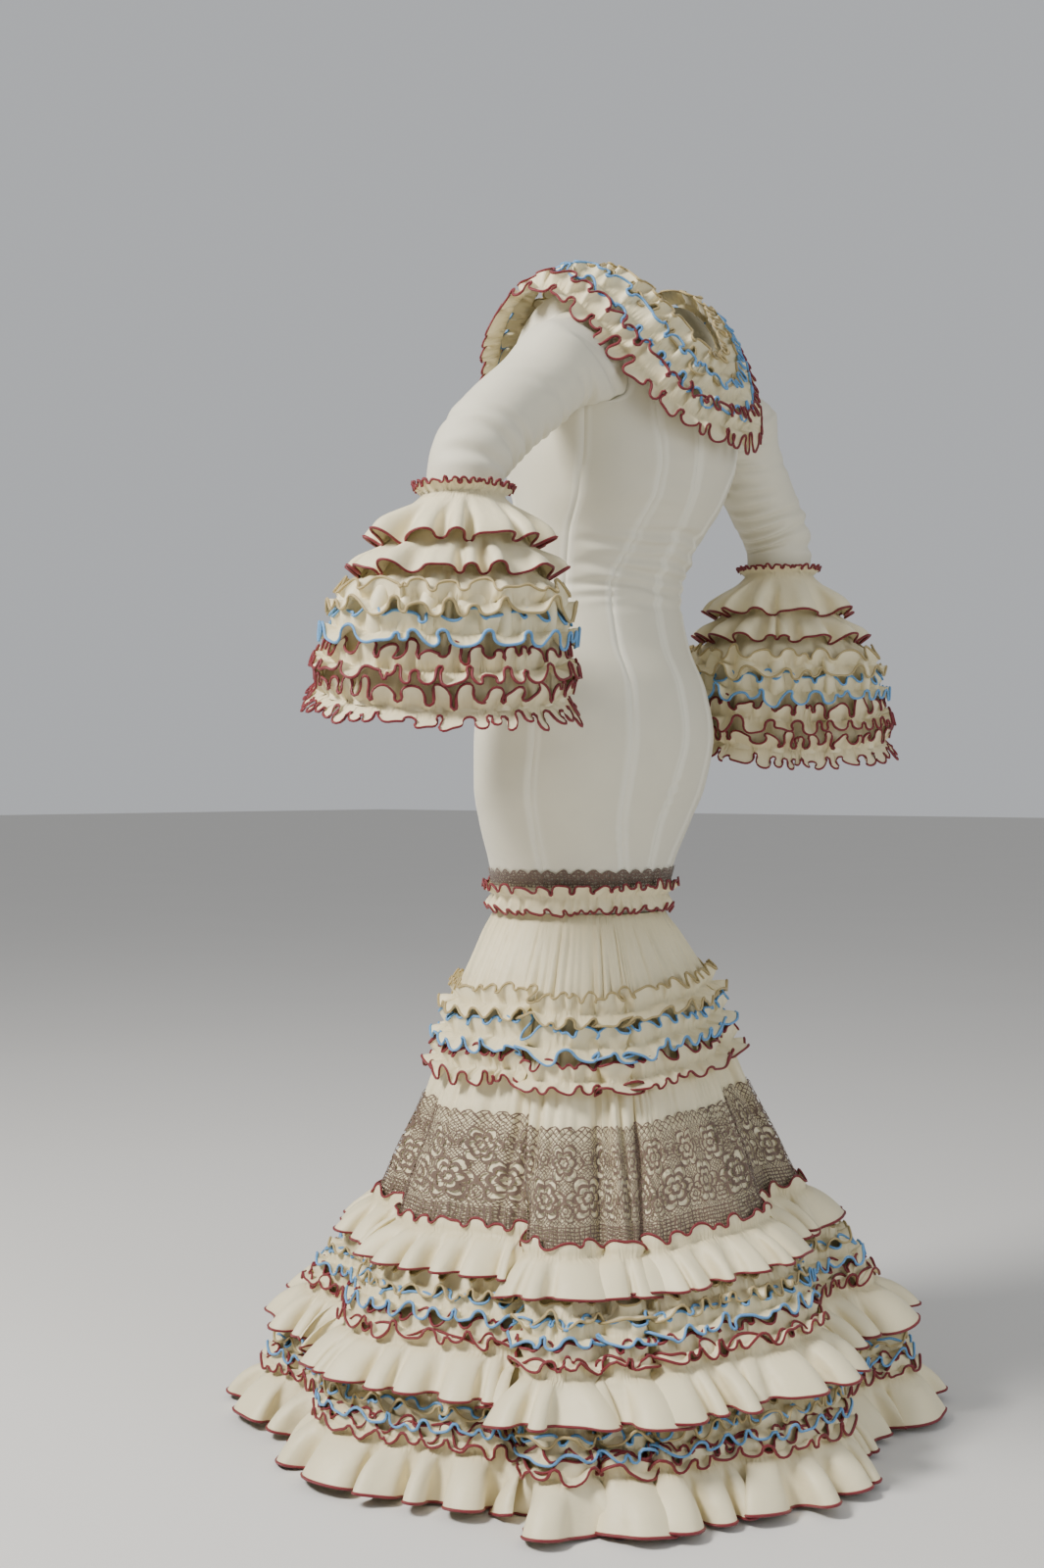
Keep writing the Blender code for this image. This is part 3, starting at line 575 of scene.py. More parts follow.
class Nodes:
    """Short calls that add and join the nodes of one tree."""

    def __init__(self, tree):
        self.tree = tree

    def add(self, kind, inputs=(), **settings):
        """A node of a kind, with settings, and inputs as (socket, value or output) pairs."""
        node = self.tree.nodes.new(kind)
        for name, value in settings.items():
            setattr(node, name, value)
        for socket, value in inputs:
            if isinstance(value, bpy.types.NodeSocket):
                self.tree.links.new(value, node.inputs[socket])
            else:
                node.inputs[socket].default_value = value
        return node

    def join(self, node, **outputs):
        """Joins outputs to the sockets of a node that they are named for."""
        for socket, output in outputs.items():
            self.tree.links.new(output, node.inputs[socket.replace("_", " ")])

    def math(self, operation, *values):
        """The output of one math node."""
        return self.add("ShaderNodeMath", list(enumerate(values)), operation=operation).outputs[0]

    def times(self, first, second):
        """The product of two values."""
        return self.math("MULTIPLY", first, second)

    def plus(self, first, second):
        """The sum of two values."""
        return self.math("ADD", first, second)

    def minus(self, first, second):
        """The first value less the second."""
        return self.math("SUBTRACT", first, second)

    def below(self, value, limit):
        """1 where the value is less than the limit, and 0 elsewhere."""
        return self.math("LESS_THAN", value, limit)

    def either(self, *masks):
        """1 where any mask is."""
        found = masks[0]
        for mask in masks[1:]:
            found = self.math("MAXIMUM", found, mask)
        return found

    def ramp(self, value, low, high, start=0.0, end=1.0):
        """A smooth change from start to end as the value goes from low to high."""
        pairs = [(0, value), (1, low), (2, high), (3, start), (4, end)]
        return self.add("ShaderNodeMapRange", pairs, interpolation_type="SMOOTHSTEP").outputs[0]

    def mix(self, share, first, last):
        """One colour mixed into another."""
        pairs = [(0, share), (6, rgba(first)), (7, rgba(last))]
        return self.add("ShaderNodeMix", pairs, data_type="RGBA").outputs[2]

    def noise(self, place, scale, detail):
        """Soft noise between 0 and 1."""
        pairs = [("Vector", place), ("Scale", scale), ("Detail", detail)]
        return self.add("ShaderNodeTexNoise", pairs).outputs[0]

    def bump(self, height, strength, distance, *under):
        """The normal with a height's relief on it, over another bump's where one is given."""
        pairs = [("Strength", strength), ("Distance", distance), ("Height", height)]
        pairs += [("Normal", normal) for normal in under]
        return self.add("ShaderNodeBump", pairs).outputs[0]

    def parts(self, place):
        """The separate measures of a place."""
        return self.add("ShaderNodeSeparateXYZ", [(0, place)]).outputs

    def cloth(self):
        """The place on the uncut cloth, in metres."""
        return self.add("ShaderNodeUVMap", uv_map="UVMap").outputs[0]

    def group(self, name, **inputs):
        """The outputs of a shared group, with its inputs."""
        return self.add("ShaderNodeGroup", inputs.items(), node_tree=GROUPS[name]).outputs


def shader_group(name, inputs, outputs):
    """An empty node group with a vector, Cloth, and named numbers in, and named numbers out.

    It gives the nodes, the cloth's two measures, all the inputs, and the output node.
    """
    tree = bpy.data.node_groups.new(name, "ShaderNodeTree")
    tree.interface.new_socket(name="Cloth", in_out="INPUT", socket_type="NodeSocketVector")
    for way, sockets in (("INPUT", inputs), ("OUTPUT", outputs)):
        for socket in sockets:
            tree.interface.new_socket(name=socket, in_out=way, socket_type="NodeSocketFloat")
    n = Nodes(tree)
    given = n.add("NodeGroupInput").outputs
    x, y, _ = n.parts(given["Cloth"])
    return n, x, y, given, n.add("NodeGroupOutput")


def weave_group():
    """Plain weave: crossing threads as height, and slubs and soft unevenness as shade."""
    n, x, y, given, result = shader_group("weave", ["Threads"], ["Height", "Slub", "Cloud"])
    pitch = n.times(given["Threads"], 2 * math.pi)
    over = n.times(n.math("SINE", n.times(x, pitch)), n.math("SINE", n.times(y, pitch)))
    stretch = n.add("ShaderNodeMapping", [(0, given["Cloth"]), (3, (60.0, 900.0, 60.0))])
    slub = n.noise(stretch.outputs[0], 1.0, 2.0)
    height = n.plus(n.times(over, 0.35), n.times(slub, 0.5))
    n.join(result, Height=height, Slub=slub, Cloud=n.noise(given["Cloth"], 14.0, 3.0))
    return n.tree


def gather_group():
    """Fine puckers that run out from a gathering line, where the cloth's second measure is 0."""
    n, x, y, given, result = shader_group("gathers", ["Pitch", "Reach"], ["Height", "Near"])
    far = n.math("DIVIDE", n.math("ABSOLUTE", y), given["Reach"])
    # Near places the painted warm shade of the gathers.
    near = n.ramp(far, 0.0, 1.0, 1.0, 0.0)
    along = n.math("DIVIDE", x, given["Pitch"])
    place = n.add("ShaderNodeCombineXYZ", [(0, along), (1, n.times(y, 30.0))]).outputs[0]
    n.join(result, Height=n.times(n.noise(place, 1.0, 1.0), near), Near=near)
    return n.tree


def new_material(name, **plain):
    """A material, its nodes and its shader, with plain values set on the shader's sockets."""
    material = bpy.data.materials.new(name)
    material.use_nodes = True
    nodes = Nodes(material.node_tree)
    shader = material.node_tree.nodes["Principled BSDF"]
    for socket, value in plain.items():
        shader.inputs[socket.replace("_", " ")].default_value = value
    return material, nodes, shader


def rgba(colour):
    """A colour with full opacity; an output is left as it is."""
    return colour if isinstance(colour, bpy.types.NodeSocket) else (*colour, 1.0)


def shade(colour, share):
    """A colour made lighter or darker by a share."""
    return tuple(min(part * share, 1.0) for part in colour)


def cloth_shades(n, colour, dark, weave, rough):
    """The cloth's colour with soft clouds of a darker one, and its roughness with the slubs."""
    tone = n.mix(n.ramp(weave["Cloud"], 0.35, 0.65), shade(colour, dark), colour)
    return tone, n.ramp(weave["Slub"], 0.3, 0.7, *rough)


def crepe_material(name, colour, pale):
    """Matt stretch crepe: fine weave, a soft nap, and a paler strip where the seam lies."""
    material, n, shader = new_material(
        name, Sheen_Weight=0.10, Sheen_Roughness=0.4, Specular_IOR_Level=0.35,
    )
    weave = n.group("weave", Cloth=n.cloth(), Threads=1400.0)
    seam = n.add("ShaderNodeAttribute", attribute_name="seam").outputs["Fac"]
    tone, rough = cloth_shades(n, colour, 0.97, weave, (0.52, 0.64))
    tone = n.mix(n.times(seam, 0.8), tone, pale)
    n.join(shader, Base_Color=tone, Roughness=rough, Normal=n.bump(weave["Height"], 0.25, 0.0004))
    return material


def cream_material(name, colour, warm_shade, pitch=0.006, reach=0.015, depth=0.0035):
    """Soft satin-faced cloth with painted warm shade beside the stitching where its gathers fold,
    and fine puckers off the stitching.
    """
    material, n, shader = new_material(
        name, Sheen_Weight=0.18, Sheen_Roughness=0.4, Specular_IOR_Level=0.45,
    )
    cloth = n.cloth()
    weave = n.group("weave", Cloth=cloth, Threads=1100.0)
    gathers = n.group("gathers", Cloth=cloth, Pitch=pitch, Reach=reach)
    tone, rough = cloth_shades(n, colour, 0.96, weave, (0.42, 0.55))
    # Painted shade: a warmer, darker colour is mixed in near the stitching, where the gathers shade
    # each other.
    tone = n.mix(n.times(gathers["Near"], 0.65), tone, warm_shade)
    soft = n.bump(n.noise(cloth, 55.0, 2.0), 0.5, 0.0028)
    folds = n.bump(gathers["Height"], 0.9, depth, soft)
    n.join(shader, Base_Color=tone, Roughness=rough,
           Normal=n.bump(weave["Height"], 0.2, 0.0004, folds))
    return material


def cord_material(name, colour):
    """Twisted rayon binding: slanting strands with painted shade in the grooves between them and
    painted light on their crests, and a silky gloss.
    """
    material, n, shader = new_material(name, Sheen_Weight=0.1, Specular_IOR_Level=0.5)
    x, y, _ = n.parts(n.cloth())
    strand = n.math("SINE", n.times(n.plus(x, y), 2 * math.pi / STRAND_PITCH))
    # Painted shade and light: darker where the strands' bump is low, lighter where it is high.
    tone = n.mix(n.ramp(strand, -1.0, 1.0), shade(colour, 0.78), shade(colour, 1.15))
    n.join(shader, Base_Color=tone, Roughness=n.ramp(strand, -1.0, 1.0, 0.5, 0.38),
           Normal=n.bump(strand, 0.5, 0.0003))
    return material


def lace_group():
    """Lace threads as a mask: ladder net below, rosettes on fine net, and open net above.

    Each net is lines a pitch apart, where the distance to the nearest is under half a thread.
    A rosette is rings of six petals: places where the distance from its middle is close to
    size * (PETAL_LEAST + PETAL_MORE * |cos 3 angle|).
    """
    n, x, y, given, result = shader_group("lace", ["Height", "Thread"], ["Mask"])
    times, plus, minus, below, either = n.times, n.plus, n.minus, n.below, n.either
    thread, height = given["Thread"], given["Height"]
    shift = times(minus(n.noise(given["Cloth"], 110.0, 1.0), 0.5), LACE_WOBBLE)
    x, y = plus(x, shift), plus(y, shift)

    def line(value, pitch, share):
        """1 on lines a pitch apart."""
        off = n.math("ABSOLUTE", minus(n.math("FRACT", n.math("DIVIDE", value, pitch)), 0.5))
        return below(times(minus(0.5, off), pitch), times(thread, share))

    def rosette(aside, middle, size):
        """The lines of a row of rosettes, and the places inside them."""
        place = n.math("FRACT", plus(n.math("DIVIDE", x, ROSETTE_PITCH), aside))
        across, above = times(ROSETTE_PITCH, minus(place, 0.5)), minus(y, middle)
        reach = n.math("SQRT", plus(times(across, across), times(above, above)))
        angle = n.math("ARCTAN2", above, across)
        petal = n.math("ABSOLUTE", n.math("COSINE", times(angle, 3.0)))
        share = n.math("DIVIDE", reach, times(size, plus(PETAL_LEAST, times(petal, PETAL_MORE))))
        rings = n.math("FRACT", times(n.math("POWER", share, RING_POWER), RINGS))
        rings = n.math("GREATER_THAN", n.math("ABSOLUTE", minus(rings, 0.5)), RING_GAP)
        spoke = times(below(petal, SPOKE_WIDTH), n.math("GREATER_THAN", share, SPOKE_START))
        inside = below(share, ROSETTE_EDGE)
        return times(inside, either(rings, spoke)), inside

    up, down = plus(x, y), minus(x, y)
    ladder = either(*(line(value, *net) for value, net in zip((x, y, up), LADDER_NET)))
    fine, open_net = (either(line(up, *net), line(down, *net)) for net in (FINE_NET, OPEN_NET))
    drawn, inside = (either(*masks) for masks in zip(*(rosette(*row) for row in ROSETTES)))
    motif = either(times(fine, minus(1.0, inside)), drawn)
    low = below(y, LADDER_TOP)
    top = n.math("GREATER_THAN", y, minus(height, OPEN_DEPTH))
    body = times(motif, times(minus(1.0, low), minus(1.0, top)))
    mask = either(body, times(ladder, low), times(open_net, top))
    scallop = n.math("ABSOLUTE", n.math("SINE", times(x, math.pi / SCALLOP)))
    rim = minus(height, times(minus(1.0, scallop), SCALLOP_DEPTH))
    edge_line = below(n.math("ABSOLUTE", minus(y, minus(rim, RIM_INSET))), RIM_WIDTH)
    n.join(result, Mask=times(either(mask, edge_line), below(y, rim)))
    return n.tree


def lace_material(name, colour, height, thread=0.00085):
    """Dark cotton lace: threads where the lace group draws them, and nothing between."""
    material, n, shader = new_material(name, Roughness=0.7, Sheen_Weight=0.25)
    cloth = n.cloth()
    mask = n.group("lace", Cloth=cloth, Height=height, Thread=thread)["Mask"]
    weave = n.group("weave", Cloth=cloth, Threads=900.0)
    n.join(shader, Base_Color=n.mix(weave["Cloud"], shade(colour, 0.7), shade(colour, 1.4)),
           Alpha=mask, Normal=n.bump(mask, 0.6, 0.0006))
    return material


def make_finishes(settings):
    """Every group and material that the pieces share."""
    GROUPS.update(weave=weave_group(), gathers=gather_group(), lace=lace_group())
    cream, warm_shade, lace = settings.cream, settings.gather_shade_colour, settings.lace
    FINISHES.update(
        crepe=crepe_material("crepe", settings.crepe, settings.seam_colour),
        cream=cream_material("cream_cloth", cream, warm_shade),
        tier=cream_material("cream_tier", cream, warm_shade, pitch=0.010, reach=0.06, depth=0.0016),
        red=cord_material("cord_red", settings.cord_red),
        blue=cord_material("cord_blue", settings.cord_blue),
        beige=cord_material("cord_beige", settings.cord_beige),
        lace=lace_material("lace", lace, settings.lace_height),
        knee_lace=lace_material("lace_edging", lace, KNEE_LACE_DRAWN),
    )


# --- Shapes ---------------------------------------------------------------------------------

def polar(angle):
    """Cosine and sine of angles in degrees."""
    return np.cos(np.radians(angle)), np.sin(np.radians(angle))


def ring_point(angle, row):
    """Points on rings round the body: row holds the first seven columns.

    Across and along are half width and half depth times the cosine and sine. The height is
    that of the back or front, and rises to the side's with a power of |cosine|.
    """
    across, along = polar(angle)
    side, back, front, width, depth, centre, saddle = np.moveaxis(row, -1, 0)
    low = back + (front - back) * step(-along, -TURN_SHARE, TURN_SHARE)
    height = low + (side - low) * np.abs(across) ** saddle
    return np.stack([width * across, centre + depth * along, height], axis=-1)


def body_rows(index):
    """The body's columns at any place between its rows."""
    return through(np.arange(len(BODY_ROWS)), BODY_ROWS, index)


def seam_angle(rows, seam, towards):
    """Angles of a seam along the rows; a side seam opens by the armhole towards +1 or -1."""
    column, hand = seam
    angle = -rows[..., column] if column == FRONT else rows[..., column]
    if hand < 0:
        angle = 180 - angle
    return angle + (towards * rows[..., ARMHOLE] if column == SIDE else 0.0)


def crease(off, half):
    """A soft trough with low ridges beside it: (1 - x * x) * exp(-x * x / 2)."""
    x = off / half
    return (1 - x * x) * np.exp(-x * x / 2)


def pull_creases(angle, height, table):
    """How far creases move the cloth in or out: each fades towards its two ends."""
    moved = np.zeros(np.broadcast(angle, height).shape)
    for middle, level, half, width, depth, climb in table:
        share = ((angle - middle + 180) % 360 - 180) / half
        fade = np.clip(1 - share * share, 0, 1) ** FADE_POWER
        moved -= depth * fade * crease(height - level - climb * share, width)
    return moved


def surface_normals(points, ring=False):
    """Outward directions of a grid of points: its column steps crossed with its row steps."""
    across = along_ring(points) if ring else np.gradient(points, axis=1)
    return unit(np.cross(across, np.gradient(points, axis=0)))


def skirt_at(turn, height):
    """Points of the skirt's cloth: turn counts the rows of its plan, and closes on itself.

    The angle and the share of the profile's radius change from the hem's to the lace's with
    height, the folds fade out below the knee, and the cloth is lifted where the plan says.
    """
    plan = np.array(SKIRT_PLAN, float)
    count = len(plan)
    turned = np.array((360.0, 360.0, 0, 0, 0))
    wide = np.concatenate([plan[-3:] - turned, plan, plan[:3] + turned])
    hem, lace, hem_share, lace_share, lift = np.moveaxis(
        through(np.arange(-3, count + 3), wide, turn), -1, 0)
    rise = height / LACE_HEIGHT
    angle = hem + (lace - hem) * np.minimum(rise, LEAN_END)
    share = hem_share + (lace_share - hem_share) * np.minimum(rise, 1.0)
    share = 1 + (share - 1) * np.clip((FOLDS_GONE - height) / (FOLDS_GONE - FOLDS_FULL), 0, 1)
    heights, radii = np.array(SKIRT_PROFILE).T
    radius = through(heights, radii[:, None], height)[..., 0] * share
    level = np.clip(height / LIFT_FULL, 0, 1) * np.clip((FOLDS_GONE - height) / LIFT_FADE, 0, 1)
    middle = BODY_ROWS[0][5] * np.clip((height - LACE_HEIGHT) / (KNEE_LINE - LACE_HEIGHT), 0, 1)
    across, along = polar(angle)
    return np.stack([radius * across, middle + radius * along, height + lift * level], axis=-1)


def turns_by_length(ring, turns, shares):
    """Where each share of a ring's length falls, as a turn, and the ring's length."""
    length = lengths_along(ring(turns))
    return np.interp(shares * length[-1], length, turns), length[-1]


def frill(ring, turns, rows, waves, turning, count, seed, detail=0.0, bias=0.0):
    """A strip gathered along a ring, whose free edges swing in waves of their own.

    ring(turn, up) gives the ring's points a little up or down the cloth it lies on. rows is a
    table, from the lowest edge up: distance along the cloth from the stitching, distance out,
    share of the wave, and tilt, the angle of the wave's direction from straight out towards
    the edge. Each point is the stitching's, moved along and out, plus share * length *
    (offset round * direction round + offset across * tilted direction). bias moves the waves
    outwards by a share of their inward reach.
    """
    rng = np.random.default_rng(seed)
    lower, upper = (meander(count, waves, turning, DWELL, rng) for _ in range(2))
    shares = (lower[0] + upper[0]) / 2
    turn, length = turns_by_length(lambda t: ring(t, 0.0), turns, shares % 1.0)
    here = ring(turn, 0.0)
    round_it = along_ring(here)
    up = unit(ring(turn, SLOPE_STEP) - ring(turn, -SLOPE_STEP))
    out = unit(np.cross(round_it, up))
    up = np.cross(out, round_it)
    table = np.array(rows, float)[:, :, None, None]
    along, off, sway, tilt = table[:, 0], table[:, 1], table[:, 2], np.radians(table[:, 3])
    way = np.where(along < 0, -1.0, 1.0)
    top = (along >= 0)[..., 0]
    sideways = np.where(top, upper[1], lower[1])[..., None] * length
    lower_wave, upper_wave = (edge[2] - bias * edge[2].min() for edge in (lower, upper))
    waving = np.where(top, upper_wave, lower_wave)[..., None] * length
    uneven = 1 + detail * ring_noise(count, waves, rng)[:, None]
    grid = here + along * uneven * up + off * out + sway * (
        sideways * round_it + waving * (np.cos(tilt) * out + np.sin(tilt) * way * up))
    cut = float(row_lengths(grid).mean())
    return grid, even_places(cut, count, table[:, 0, 0, 0]), cut


def ruche_rows(half, flares, tilt, sway=1.0, base=RUCHE_OUT):
    """Rows of a strip gathered along its middle, whose two halves flare from the cloth."""
    upper, lower = np.radians(flares)
    rows = []
    for share, wave in RUCHE_ROWS:
        flare = upper if share > 0 else lower
        rows.append((share * half * math.cos(flare), base + abs(share) * half * math.sin(flare),
                     sway * wave, tilt))
    return rows


def make_ruche(node, colour, made, settings):
    """The strip and the cords on its two edges."""
    grid, flat, cut = made
    cords = edge_cord(node, both_edges(grid), settings.cord_radius, colour)
    strip = closed_piece(node, "strip", grid, flat, "cream", "ruche_" + colour)


# --- Operators ------------------------------------------------------------------------------

class DressOperator(bpy.types.Operator):
    """Shared options of the operators that make pieces."""

    bl_options = {"REGISTER", "UNDO"}


class DRESS_OT_body(DressOperator):
    """Cuts the body in seven fitted panels, with seams, pulls at the waist and zip puckers"""

    bl_idname = "dress.body"
    bl_label = "Body panels"

    def execute(self, context):
        heights = [row[0] for row in BODY_ROWS]
        level = np.linspace(heights[0], heights[-1], LEVEL_STEPS)
        close = step(level, *CLOSE_ROWS[:2]) * (1 - step(level, *CLOSE_ROWS[2:]))
        dense = np.cumsum(1.0 + CLOSE_SHARE * close)
        level = np.interp(np.linspace(dense[0], dense[-1], PANEL_ROWS), dense, level)
        index = np.interp(level, heights, np.arange(len(heights)))
        rows = body_rows(index)
        for name, first, last, columns in PANELS:
            start = seam_angle(rows, first, 1)
            end = seam_angle(rows, last, -1)
            end = np.where(end < start, end + 360, end)
            even = np.linspace(0, 1, columns + 1)
            across = even + EDGE_COLUMNS * (0.5 - 0.5 * np.cos(np.pi * even) - even)
            angle = start[:, None] + (end - start)[:, None] * across
            points = ring_point(angle, rows[:, None, :7])
            width = np.linalg.norm(np.diff(points, axis=1), axis=2)
            place = np.concatenate([np.zeros((len(points), 1)), np.cumsum(width, axis=1)], axis=1)
            edge = np.minimum(place, place[:, -1:] - place)
            height = points[..., 2]
            moved = CLOTH / 2 + pull_creases(angle, height, CREASES + PUCKERS)
            moved -= SEAM_DEPTH * np.exp(-(edge / SEAM_WIDTH) ** 2)
            along = lengths_along(points[:, columns // 2])
            middled = place - place[:, -1:] / 2
            flat = np.stack(np.broadcast_arrays(middled, along[:, None]), axis=-1)
            grid = points + moved[..., None] * surface_normals(points)
            mesh = grid_mesh(name, grid, flat, ring=False)
            band = mesh.attributes.new("seam", "FLOAT", "POINT")
            shown = 1 - step(edge, ALLOWANCE_FULL * ALLOWANCE, ALLOWANCE)
            band.data.foreach_set("value", shown.ravel())
            piece = add_piece(name + "_cloth", mesh, FINISHES["crepe"], "body_crepe", name)
            width = place[:, -1]
        return {"FINISHED"}


def armhole_ring(hand, share):
    """The armhole's edge by share of a turn: up its back, over the shoulder, down its front."""
    way = 1 if hand == "left" else -1
    climb = 1 - np.abs(1 - 2 * share)
    rows = body_rows(UNDERARM_ROW + (SHOULDER_ROW - UNDERARM_ROW) * climb)
    middle = rows[..., SIDE] if way > 0 else 180 - rows[..., SIDE]
    behind = np.where(share < 0.5, 1.0, -1.0)
    return ring_point(middle + way * behind * rows[..., ARMHOLE], rows[..., :7])


def sleeve_grid(hand):
    """Rings of a sleeve: the armhole's edge, one part of the way, then circles on its path.

    A circle is centre + radius * (behind * sine - up * cosine), and up is carried along the
    path. Between the rings, each point follows a smooth curve through them.
    """
    way = 1 if hand == "left" else -1
    share = np.arange(SLEEVE_ROUND) / SLEEVE_ROUND
    edge = armhole_ring(hand, share)
    path = np.array([(way * x, y, z) for x, y, z, _ in SLEEVE_PATHS[hand]])
    radii = [row[3] for row in SLEEVE_PATHS[hand]]
    middle = edge.mean(axis=0)
    up = edge[SLEEVE_ROUND // 2] - edge[0]
    rings = [edge + np.array((way * SLEEVE_START, 0, 0))]
    for index, centre in enumerate(path):
        before = path[index - 1] if index else middle
        after = path[index + 1] if index + 1 < len(path) else centre
        along = unit(after - before)
        if index + 1 == len(path):
            along = np.array((0.0, 0.0, -1.0))
        up = unit(up - along * up.dot(along))
        behind = np.cross(up, along) * way
        turn = 2 * np.pi * share[:, None]
        rings.append(centre + radii[index] * (behind * np.sin(turn) - up * np.cos(turn)))
    rings.insert(1, rings[0] + (rings[1] - rings[0]) * SLEEVE_HEAD)
    rings = np.array(rings)
    keys = lengths_along(rings.mean(axis=1))
    grid = through(keys, rings, np.linspace(0, keys[-1], SLEEVE_LONG))
    return grid, share, keys[-1]


class DRESS_OT_sleeves(DressOperator):
    """Sets the two tight sleeves in their armholes, creased under the arm and at the elbow"""

    bl_idname = "dress.sleeves"
    bl_label = "Sleeves"

    def execute(self, context):
        for hand, way in (("left", 1), ("right", -1)):
            grid, share, length = sleeve_grid(hand)
            along = np.linspace(0, 1, SLEEVE_LONG)[:, None]
            moved = np.full(grid.shape[:2], CLOTH / 2)
            for middle, place, round_it, width, depth, slant in SLEEVE_CREASES:
                off = (share[None, :] - middle + 0.5) % 1.0 - 0.5
                fade = np.clip(1 - (off / round_it) ** 2, 0, 1) ** FADE_POWER
                moved -= depth * fade * crease(along - place - slant * off / round_it, width)
            grid, moved = grid[::-1, ::-way], moved[::-1, ::-way]
            grid = grid + moved[..., None] * surface_normals(grid, ring=True)
            girth = row_lengths(grid)
            flat = even_places(girth.mean(), SLEEVE_ROUND, length * along[:, 0])
            piece = closed_piece("sleeve_" + hand, "cloth", grid, flat, "crepe", "body_crepe")
        return {"FINISHED"}


def tier_gathers(points, height):
    """How far the gathers of the upper tier stand out: two sets of ridges with narrow valleys.

    The fine set starts under the knee ruche, and the broad one grows down towards the lace.
    """
    rng = np.random.default_rng(GATHER_SEED)
    share = np.arctan2(points[..., 1], points[..., 0]) / (2 * np.pi) % 1.0
    place = share * GATHER_STEPS
    total = np.zeros(share.shape)
    for ridges, size, low, high in GATHERS:
        pace, force = (ring_noise(GATHER_STEPS, ridges // 2, rng) for _ in range(2))
        pace = np.interp(place, np.arange(GATHER_STEPS), RIDGE_PACE * pace / ridges)
        force = RIDGE_FORCE[0] + RIDGE_FORCE[1] * np.tanh(force)
        force = np.interp(place, np.arange(GATHER_STEPS), force)
        ridge = np.abs(np.cos(np.pi * ridges * (share + pace))) ** RIDGE_POWER - RIDGE_MIDDLE
        total = total + size * force * ridge * (1 - step(height, high, low))
    return total * step(height, *GATHERS_END)


def skirt_piece(node, part, table, finish, slot, out=None, drawn=None):
    """A ring of the skirt's cloth between two heights, from a table of those, columns and rows.

    Where out is given, the gathers and that distance are added along the normals. The cloth is
    measured down from its top edge or, where drawn is given, up from its lower edge.
    """
    low, high, columns, rows = table
    turn = len(SKIRT_PLAN) * np.arange(columns) / columns
    height = np.linspace(low, high, rows + 1)[:, None]
    grid = skirt_at(turn[None, :], height)
    if out is not None:
        gathers = tier_gathers(grid, height) + out
        grid = grid + gathers[..., None] * surface_normals(grid, ring=True)
    girth = row_lengths(grid)
    slant = float(np.linalg.norm(grid[-1] - grid[0], axis=1).mean())
    along = np.linspace(0, drawn, rows + 1) if drawn else np.linspace(-slant, 0, rows + 1)
    flat = even_places(girth.mean(), columns, along)
    piece = closed_piece(node, part, grid, flat, finish, slot)


class DRESS_OT_skirt_tiers(DressOperator):
    """Makes the skirt's three tiers, the upper one gathered under the knee ruche"""

    bl_idname = "dress.skirt_tiers"
    bl_label = "Skirt tiers"

    def execute(self, context):
        for name, *table in SKIRT_TIERS:
            out = 0.0 if name == "skirt_tier_upper" else None
            skirt_piece(name, "cloth", table, "tier", "cream_cloth", out)
        return {"FINISHED"}


class DRESS_OT_lace(DressOperator):
    """Lays the lace band over the upper tier, on the same folds"""

    bl_idname = "dress.lace"
    bl_label = "Lace band"

    def execute(self, context):
        skirt_piece("lace_band", "net", LACE_BAND, "lace", "lace", LACE_OUT,
                    context.scene.dress.lace_height)
        return {"FINISHED"}


class DRESS_OT_skirt_flounces(DressOperator):
    """Gathers the three red-edged flounces onto the skirt, each with a curly heading"""

    bl_idname = "dress.skirt_flounces"
    bl_label = "Skirt flounces"

    def execute(self, context):
        turns = np.linspace(0, len(SKIRT_PLAN), RING_STEPS)
        for seed, (name, height, fall, heading, stand, waves, turning, count, tilt) in enumerate(
                SKIRT_FLOUNCES, FLOUNCE_SEED):
            rows = [(-fall * share, FLOUNCE_OUT + stand * share ** STAND_POWER, wave, tilt * share)
                    for share, wave in FALL_ROWS]
            rows += [(heading * share, *rest) for share, *rest in FLOUNCE_HEADING]
            ring = lambda turn, up, height=height: skirt_at(turn, height + up)
            grid, flat, cut = frill(ring, turns, rows, waves, turning, count, seed,
                                    bias=FLOUNCE_BIAS)
            grid[..., 2] = np.maximum(grid[..., 2], HEM_LOWEST)
            cords = edge_cord(name, both_edges(grid), context.scene.dress.cord_radius, "red")
            piece = closed_piece(name, "cloth", grid, flat, "cream", "cream_cloth")
        return {"FINISHED"}


class DRESS_OT_skirt_ruches(DressOperator):
    """Gathers nine double-edged ruches onto the skirt: beige, blue and red, three times"""

    bl_idname = "dress.skirt_ruches"
    bl_label = "Skirt ruches"

    def execute(self, context):
        settings = context.scene.dress
        turns = np.linspace(0, len(SKIRT_PLAN), RING_STEPS)
        for seed, (name, colour, height, half, waves, count, flares) in enumerate(
                SKIRT_RUCHES, RUCHE_SEED):
            ring = lambda turn, up, height=height: skirt_at(turn, height + up)
            rows = ruche_rows(half, flares, SKIRT_RUCHE_TILT, settings.wave)
            made = frill(ring, turns, rows, waves, SKIRT_RUCHE_TURNING, count, seed,
                         detail=RUCHE_DETAIL)
            make_ruche(name, colour, made, settings)
        return {"FINISHED"}


